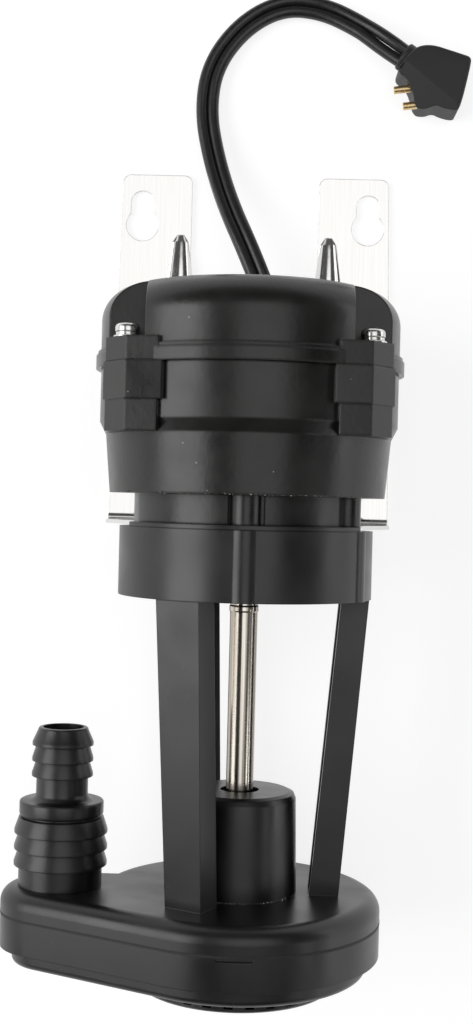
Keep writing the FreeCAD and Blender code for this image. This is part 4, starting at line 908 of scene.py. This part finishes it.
# %% [markdown]
# ## Bright annealed stainless sheet
#
# The bracket is pressed from mirror-bright stainless. A metal has no colour of its own under the
# reflection, only a tint of it, so the base colour is nearly white and the roughness low. The rolls
# leave a faint grain along the sheet, which is finer than a picture point and is drawn coarser here.

# %% Make the stainless sheet
ROLLING_GRAIN, ROLLING_DRAW, ROLLING_DEPTH = 0.6, (1, 0.02, 1), 0.0004
SHEET_EDGE = 0.4


def bright_stainless():
    """A mirror with faint lines along the sheet."""
    made, tree, shader = material("bright_annealed_stainless_sheet", metallic=1.0)
    lines = grain(tree, ROLLING_GRAIN, ROLLING_DRAW)
    vary(tree, shader, lines, ("#dddcda", "#e3e2e0"), gloss=(0.05, 0.10))
    relief(tree, shader, lines, ROLLING_DEPTH, edge=SHEET_EDGE)
    return made


sheet_steel = bright_stainless()
print("made", sheet_steel.name)

# %% [markdown]
# ## Ground stainless bar
#
# The shaft is bar that was ground and polished lengthwise in use, so it has long streaks along its axis,
# some bright and some greyish brown. Noise that is drawn out along the shaft gives them. Real streaks
# are finer than a picture point, so they are drawn coarser here. The darker ones are duller too.

# %% Make the shaft steel
STREAK_WIDTH, STREAK_DRAW, STREAK_DEPTH = 1.3, (1, 0.012, 1), 0.01
STREAK_REACH = (0.38, 0.62)


def ground_bar():
    """Long streaks between a dull brown and a bright grey."""
    made, tree, shader = material("ground_stainless_bar", metallic=1.0)
    streaks = grain(tree, STREAK_WIDTH, STREAK_DRAW, detail=3.0)
    vary(tree, shader, streaks, ("#8d857b", "#d6d0c6"), gloss=(0.28, 0.14), reach=STREAK_REACH)
    relief(tree, shader, streaks, STREAK_DEPTH)
    return made


bar_steel = ground_bar()
print("made", bar_steel.name)

# %% [markdown]
# ## Bright zinc plate, brass and PVC
#
# Screws and washers are steel with a bright zinc plate, a little cloudy. The plug's pins are turned
# brass, with rings from the tool. The cord's jacket is extruded PVC, smooth along its length, and the
# plug is moulded PVC with a fine spark-eroded grain that makes it duller than the cord. Rings and grain
# are drawn a little coarser than real ones, or they wouldn't show.

# %% Make zinc plate and brass
PLATE_CLOUD, PLATE_DEPTH, PLATE_EDGE = 1.2, 0.01, 0.15
TOOL_RING, RING_DRAW, RING_DEPTH, PIN_EDGE = 0.35, (1, 0.2, 0.2), 0.004, 0.2


def bright_zinc():
    """Silvery with small clouds."""
    made, tree, shader = material("bright_zinc_plated_steel", metallic=1.0)
    cloud = grain(tree, PLATE_CLOUD)
    vary(tree, shader, cloud, ("#c3c4c2", "#e6e6e3"), gloss=(0.14, 0.28))
    relief(tree, shader, cloud, PLATE_DEPTH, edge=PLATE_EDGE)
    return made


def turned_brass():
    """Pale brass with rings across the pins, which lie nearly along X."""
    made, tree, shader = material("turned_brass", metallic=1.0)
    rings = grain(tree, TOOL_RING, RING_DRAW)
    vary(tree, shader, rings, ("#cfae74", "#e8d3a4"), gloss=(0.26, 0.38))
    relief(tree, shader, rings, RING_DEPTH, edge=PIN_EDGE)
    return made


zinc = bright_zinc()
brass = turned_brass()
print("made", zinc.name, brass.name)

# %% Make the PVC of cord and plug
JACKET_SKIN = 1.0
MOULD_GRAIN = 0.45
GLOSS_SPAN = 0.06


def soft_vinyl(name, colours, cell, rough, depth, edge):
    """Black PVC: the same stuff for cord and plug, with its own grain and gloss for each."""
    made, tree, shader = material(name, ior=1.53)
    skin = grain(tree, cell)
    vary(tree, shader, skin, colours, gloss=(rough - GLOSS_SPAN, rough + GLOSS_SPAN))
    relief(tree, shader, skin, depth, edge=edge)
    return made


jacket_vinyl = soft_vinyl("extruded_pvc_jacket", ("#1a191a", "#222122"), JACKET_SKIN,
                          rough=0.34, depth=0.01, edge=0.0)
plug_vinyl = soft_vinyl("moulded_pvc_plug", ("#1d1d1d", "#242424"), MOULD_GRAIN,
                        rough=0.56, depth=0.02, edge=0.6)
print("made", jacket_vinyl.name, plug_vinyl.name)

# %% [markdown]
# ## What is inside the motor
#
# The stator and rotor are stacks of electrical steel sheet, and the coils are enamelled copper wire, so
# both get stripes. The bushes are sintered bronze full of small pores, and the rotor's end rings are
# cast aluminium. Real sheets, wires and pores are too fine to show, so all three are drawn coarser. The
# cord's grommet and the slinger are nitrile rubber, and so is the black strip of painted seam shade.

# %% Make the inner finishes
SHEET_STRIPE, WIRE_STRIPE = 1.0, 0.8
PORE, CAST_SKIN, RUBBER_SKIN = 0.5, 1.5, 0.8
CRUMB_SKIN = 0.3
BAND_PERIOD = math.tau / 20


def layered(name, layer, colours, metallic, rough, depth):
    """Stripes across the pump's axis; at a scale of 1 the texture's bands lie a period apart."""
    made, tree, shader = material(name, metallic=metallic, roughness=rough)
    place = add(tree, "ShaderNodeTexCoord")
    stripes = add(tree, "ShaderNodeTexWave", {"Vector": place.outputs["Object"],
                                              "Scale": per_mm(layer) * BAND_PERIOD, "Distortion": 0.4},
                  wave_type="BANDS", bands_direction="Y").outputs["Fac"]
    vary(tree, shader, stripes, colours, reach=(0, 1))
    relief(tree, shader, stripes, depth)
    return made


def speckled(name, cell, colours, metallic, rough, depth):
    """A grained surface between two colours."""
    made, tree, shader = material(name, metallic=metallic, roughness=rough)
    skin = grain(tree, cell)
    vary(tree, shader, skin, colours)
    relief(tree, shader, skin, depth)
    return made


laminations = layered("laminated_silicon_steel", SHEET_STRIPE, ("#5b5c60", "#8b8c90"), 1.0, 0.42, 0.05)
coil_wire = layered("enamelled_copper_wire", WIRE_STRIPE, ("#7e3a18", "#c46f3a"), 0.8, 0.35, 0.15)
bronze = speckled("sintered_bronze", PORE, ("#6f5330", "#a98452"), 1.0, 0.5, 0.02)
aluminium = speckled("die_cast_aluminium", CAST_SKIN, ("#a7a9ab", "#c9cbcd"), 1.0, 0.42, 0.03)
rubber = speckled("moulded_nitrile_rubber", RUBBER_SKIN, ("#151515", "#1f1f1f"), 0.0, 0.62, 0.02)
torn_nylon = speckled("torn_nylon_flash", CRUMB_SKIN, ("#6c6b67", "#b4b2ad"), 0.0, 0.6, 0.01)
# The beads' pale greys paint the glints on black enamel, a painted highlight.
bead_glint_paint = speckled("enamel_beads_painted_glint", CRUMB_SKIN, ("#4a4846", "#8f8c86"), 0.0, 0.3, 0.01)
print("made", laminations.name, coil_wire.name, bronze.name, aluminium.name, rubber.name)

# %% [markdown]
# ## Putting the finishes on
#
# Each ready-made piece says which finish it has, so one loop dresses them all. A piece that was made
# here says it through its slot. The crumbs get finishes of their own. The flash is paler than the nylon
# that it tore from, and the enamel beads are painted pale grey as glints, a painted highlight.

# %% Dress every piece
finishes = {
    "painted_casting": enamel,
    "moulded_nylon": nylon,
    "polished_stainless": sheet_steel,
    "stainless_shaft": bar_steel,
    "zinc_screws": zinc,
    "brass_pins": brass,
    "cord_pvc": jacket_vinyl,
    "plug_pvc": plug_vinyl,
    "silicon_steel": laminations,
    "copper_wire": coil_wire,
    "sintered_bronze": bronze,
    "cast_aluminium": aluminium,
    "black_rubber": rubber,
}
slot_of = {entry["node"]: entry["material_slot"] for entry in frame["record"]["subparts"]}


def dress(piece, finish):
    """Takes the old finishes off a piece and puts one on."""
    piece.data.materials.clear()
    piece.data.materials.append(finish)


for name, piece in frame["nodes"].items():
    dress(piece, finishes[slot_of[name]])
made_here = [cord, shaft_lip, tail, cap_shell, collar_rim, seam_shade, cage, plug_shell, *hardware]
for piece in made_here:
    dress(piece, finishes[piece["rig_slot"]])
dress(flash, torn_nylon)
# The beads are painted pale grey as glints, a painted highlight.
dress(beads, bead_glint_paint)
print("finishes:", len(finishes), "dressed pieces:", len(frame["nodes"]) + len(made_here) + 2)

# %% [markdown]
# ## The table
#
# The table is a grey sheet with a glow that only the eye and reflections get. The two together look
# white, and because the glow lights nothing, the shadow on the sheet stays.

# %% Lay the table
TABLE_HALF = 3.0
TABLE_DROP = 0.3 * MM
TABLE_GLOW = 0.78
WHITE = linear("#ffffff")


def seen_ray(tree):
    """1 for rays from the eye, from a reflection or through glass, and 0 for the light on the object."""
    ray = add(tree, "ShaderNodeLightPath")
    first = add(tree, "ShaderNodeMath", {0: ray.outputs["Is Camera Ray"], 1: ray.outputs["Is Glossy Ray"]},
                operation="ADD", use_clamp=True)
    both = add(tree, "ShaderNodeMath", {0: first.outputs[0], 1: ray.outputs["Is Transmission Ray"]},
               operation="ADD", use_clamp=True)
    return both.outputs[0]


def white_table():
    """A sheet that takes the shadow, with a glow over it that lights nothing."""
    made = bpy.data.materials.new("white_table")
    made.use_nodes = True
    tree = made.node_tree
    tree.nodes.clear()
    sheet = add(tree, "ShaderNodeBsdfDiffuse", {"Color": linear("#a0a0a0")})
    glow = add(tree, "ShaderNodeEmission", {"Color": WHITE})
    strength = add(tree, "ShaderNodeMath", {0: seen_ray(tree), 1: TABLE_GLOW}, operation="MULTIPLY")
    tree.links.new(strength.outputs[0], glow.inputs["Strength"])
    both = add(tree, "ShaderNodeAddShader", {0: sheet.outputs[0], 1: glow.outputs[0]})
    end = add(tree, "ShaderNodeOutputMaterial")
    tree.links.new(both.outputs[0], end.inputs["Surface"])
    return made


table = mesh_object("white_table", [(x * TABLE_HALF, y * TABLE_HALF, -TABLE_DROP) for x, y in SQUARE],
                    [(0, 1, 2, 3)], False)
table.data.materials.append(white_table())
print("table is", 2 * TABLE_HALF, "m wide")

# %% [markdown]
# ## The sky
#
# Between the lights there is only sky, and smooth metal mirrors it. It is bright near the table and dark
# higher up. To the eye itself it is plain white, and the light that it sheds is weak and even.

# %% Hang the sky
SKY_LIGHT = 0.22
SKY_RAMP = ((0.0, 1.0), (0.10, 1.0), (0.26, 0.14), (0.6, 0.08), (1.0, 0.12))


def soft_sky():
    """White for the eye, a ramp from the table up for reflections, and an even level for the light."""
    world = bpy.data.worlds.new("soft_sky")
    bpy.context.scene.world = world
    world.use_nodes = True
    tree = world.node_tree
    tree.nodes.clear()
    place = add(tree, "ShaderNodeTexCoord")
    split = add(tree, "ShaderNodeSeparateXYZ", {0: place.outputs["Generated"]})
    ramp = add(tree, "ShaderNodeValToRGB", {0: split.outputs["Z"]})
    stops = ramp.color_ramp.elements
    while len(stops) < len(SKY_RAMP):
        stops.new(0.5)
    for stop, (height, level) in zip(stops, SKY_RAMP):
        stop.position = height
        stop.color = (level, level, level, 1)
    ray = add(tree, "ShaderNodeLightPath")
    backdrop = add(tree, "ShaderNodeMix", {0: ray.outputs["Is Camera Ray"], 6: ramp.outputs[0], 7: WHITE},
                   data_type="RGBA")
    seen = add(tree, "ShaderNodeBackground", {"Color": backdrop.outputs[2], "Strength": 1.0})
    light = add(tree, "ShaderNodeBackground", {"Color": WHITE, "Strength": SKY_LIGHT})
    mix = add(tree, "ShaderNodeMixShader", {0: seen_ray(tree), 1: light.outputs[0], 2: seen.outputs[0]})
    end = add(tree, "ShaderNodeOutputWorld")
    tree.links.new(mix.outputs[0], end.inputs["Surface"])


soft_sky()
print("steps in the sky:", len(SKY_RAMP))

# %% [markdown]
# ## The softboxes
#
# A product on white is lit by large soft lights, so that black shapes get slow highlights and metal has
# something bright to mirror. One soft light hangs over the motor and draws the bright band down the
# middle of each round piece. A second stands to the left, and between the two lies the dark band that
# shows how round the motor is. Thin strips at the right draw the bright lines near the other edge.

# %% Set up the softboxes
SOFTBOXES = {
    "overhead_softbox": {"side": 10, "distance": 1.3, "width": 0.96, "low": -0.45, "high": 0.68, "glow": 1.2},
    "left_softbox": {"side": -53, "distance": 1.2, "width": 0.84, "low": -0.46, "high": 0.50, "glow": 3.6},
    "right_edge_strip": {"side": 80, "distance": 1.2, "width": 0.22, "low": -0.75, "high": 0.75, "glow": 1.6},
    "low_strip": {"side": 56, "distance": 1.2, "width": 0.24, "low": -0.60, "high": -0.22, "glow": 1.8},
}


def softbox(name, target, side, distance, width, low, high, glow):
    """A light of an even glow, at an angle to the side of straight up, from low to high along the pump."""
    data = bpy.data.lights.new(name, "AREA")
    data.shape = "RECTANGLE"
    data.size, data.size_y = width, high - low
    data.energy = glow * math.pi * data.size * data.size_y
    lamp = bpy.data.objects.new(name, data)
    bpy.context.scene.collection.objects.link(lamp)
    back = Vector((math.sin(math.radians(side)), 0, math.cos(math.radians(side))))
    along = Vector((0, 1, 0))
    place = target + back * distance + along * (low + high) / 2
    facing = Matrix((along.cross(back), along, back)).transposed().to_4x4()
    lamp.matrix_world = Matrix.Translation(place) @ facing


middle = (solid_box[0] + solid_box[1]) / 2
for name, setting in SOFTBOXES.items():
    softbox(name, middle, **setting)
bpy.context.scene.view_settings.view_transform = "Standard"
print("lights:", len(SOFTBOXES))
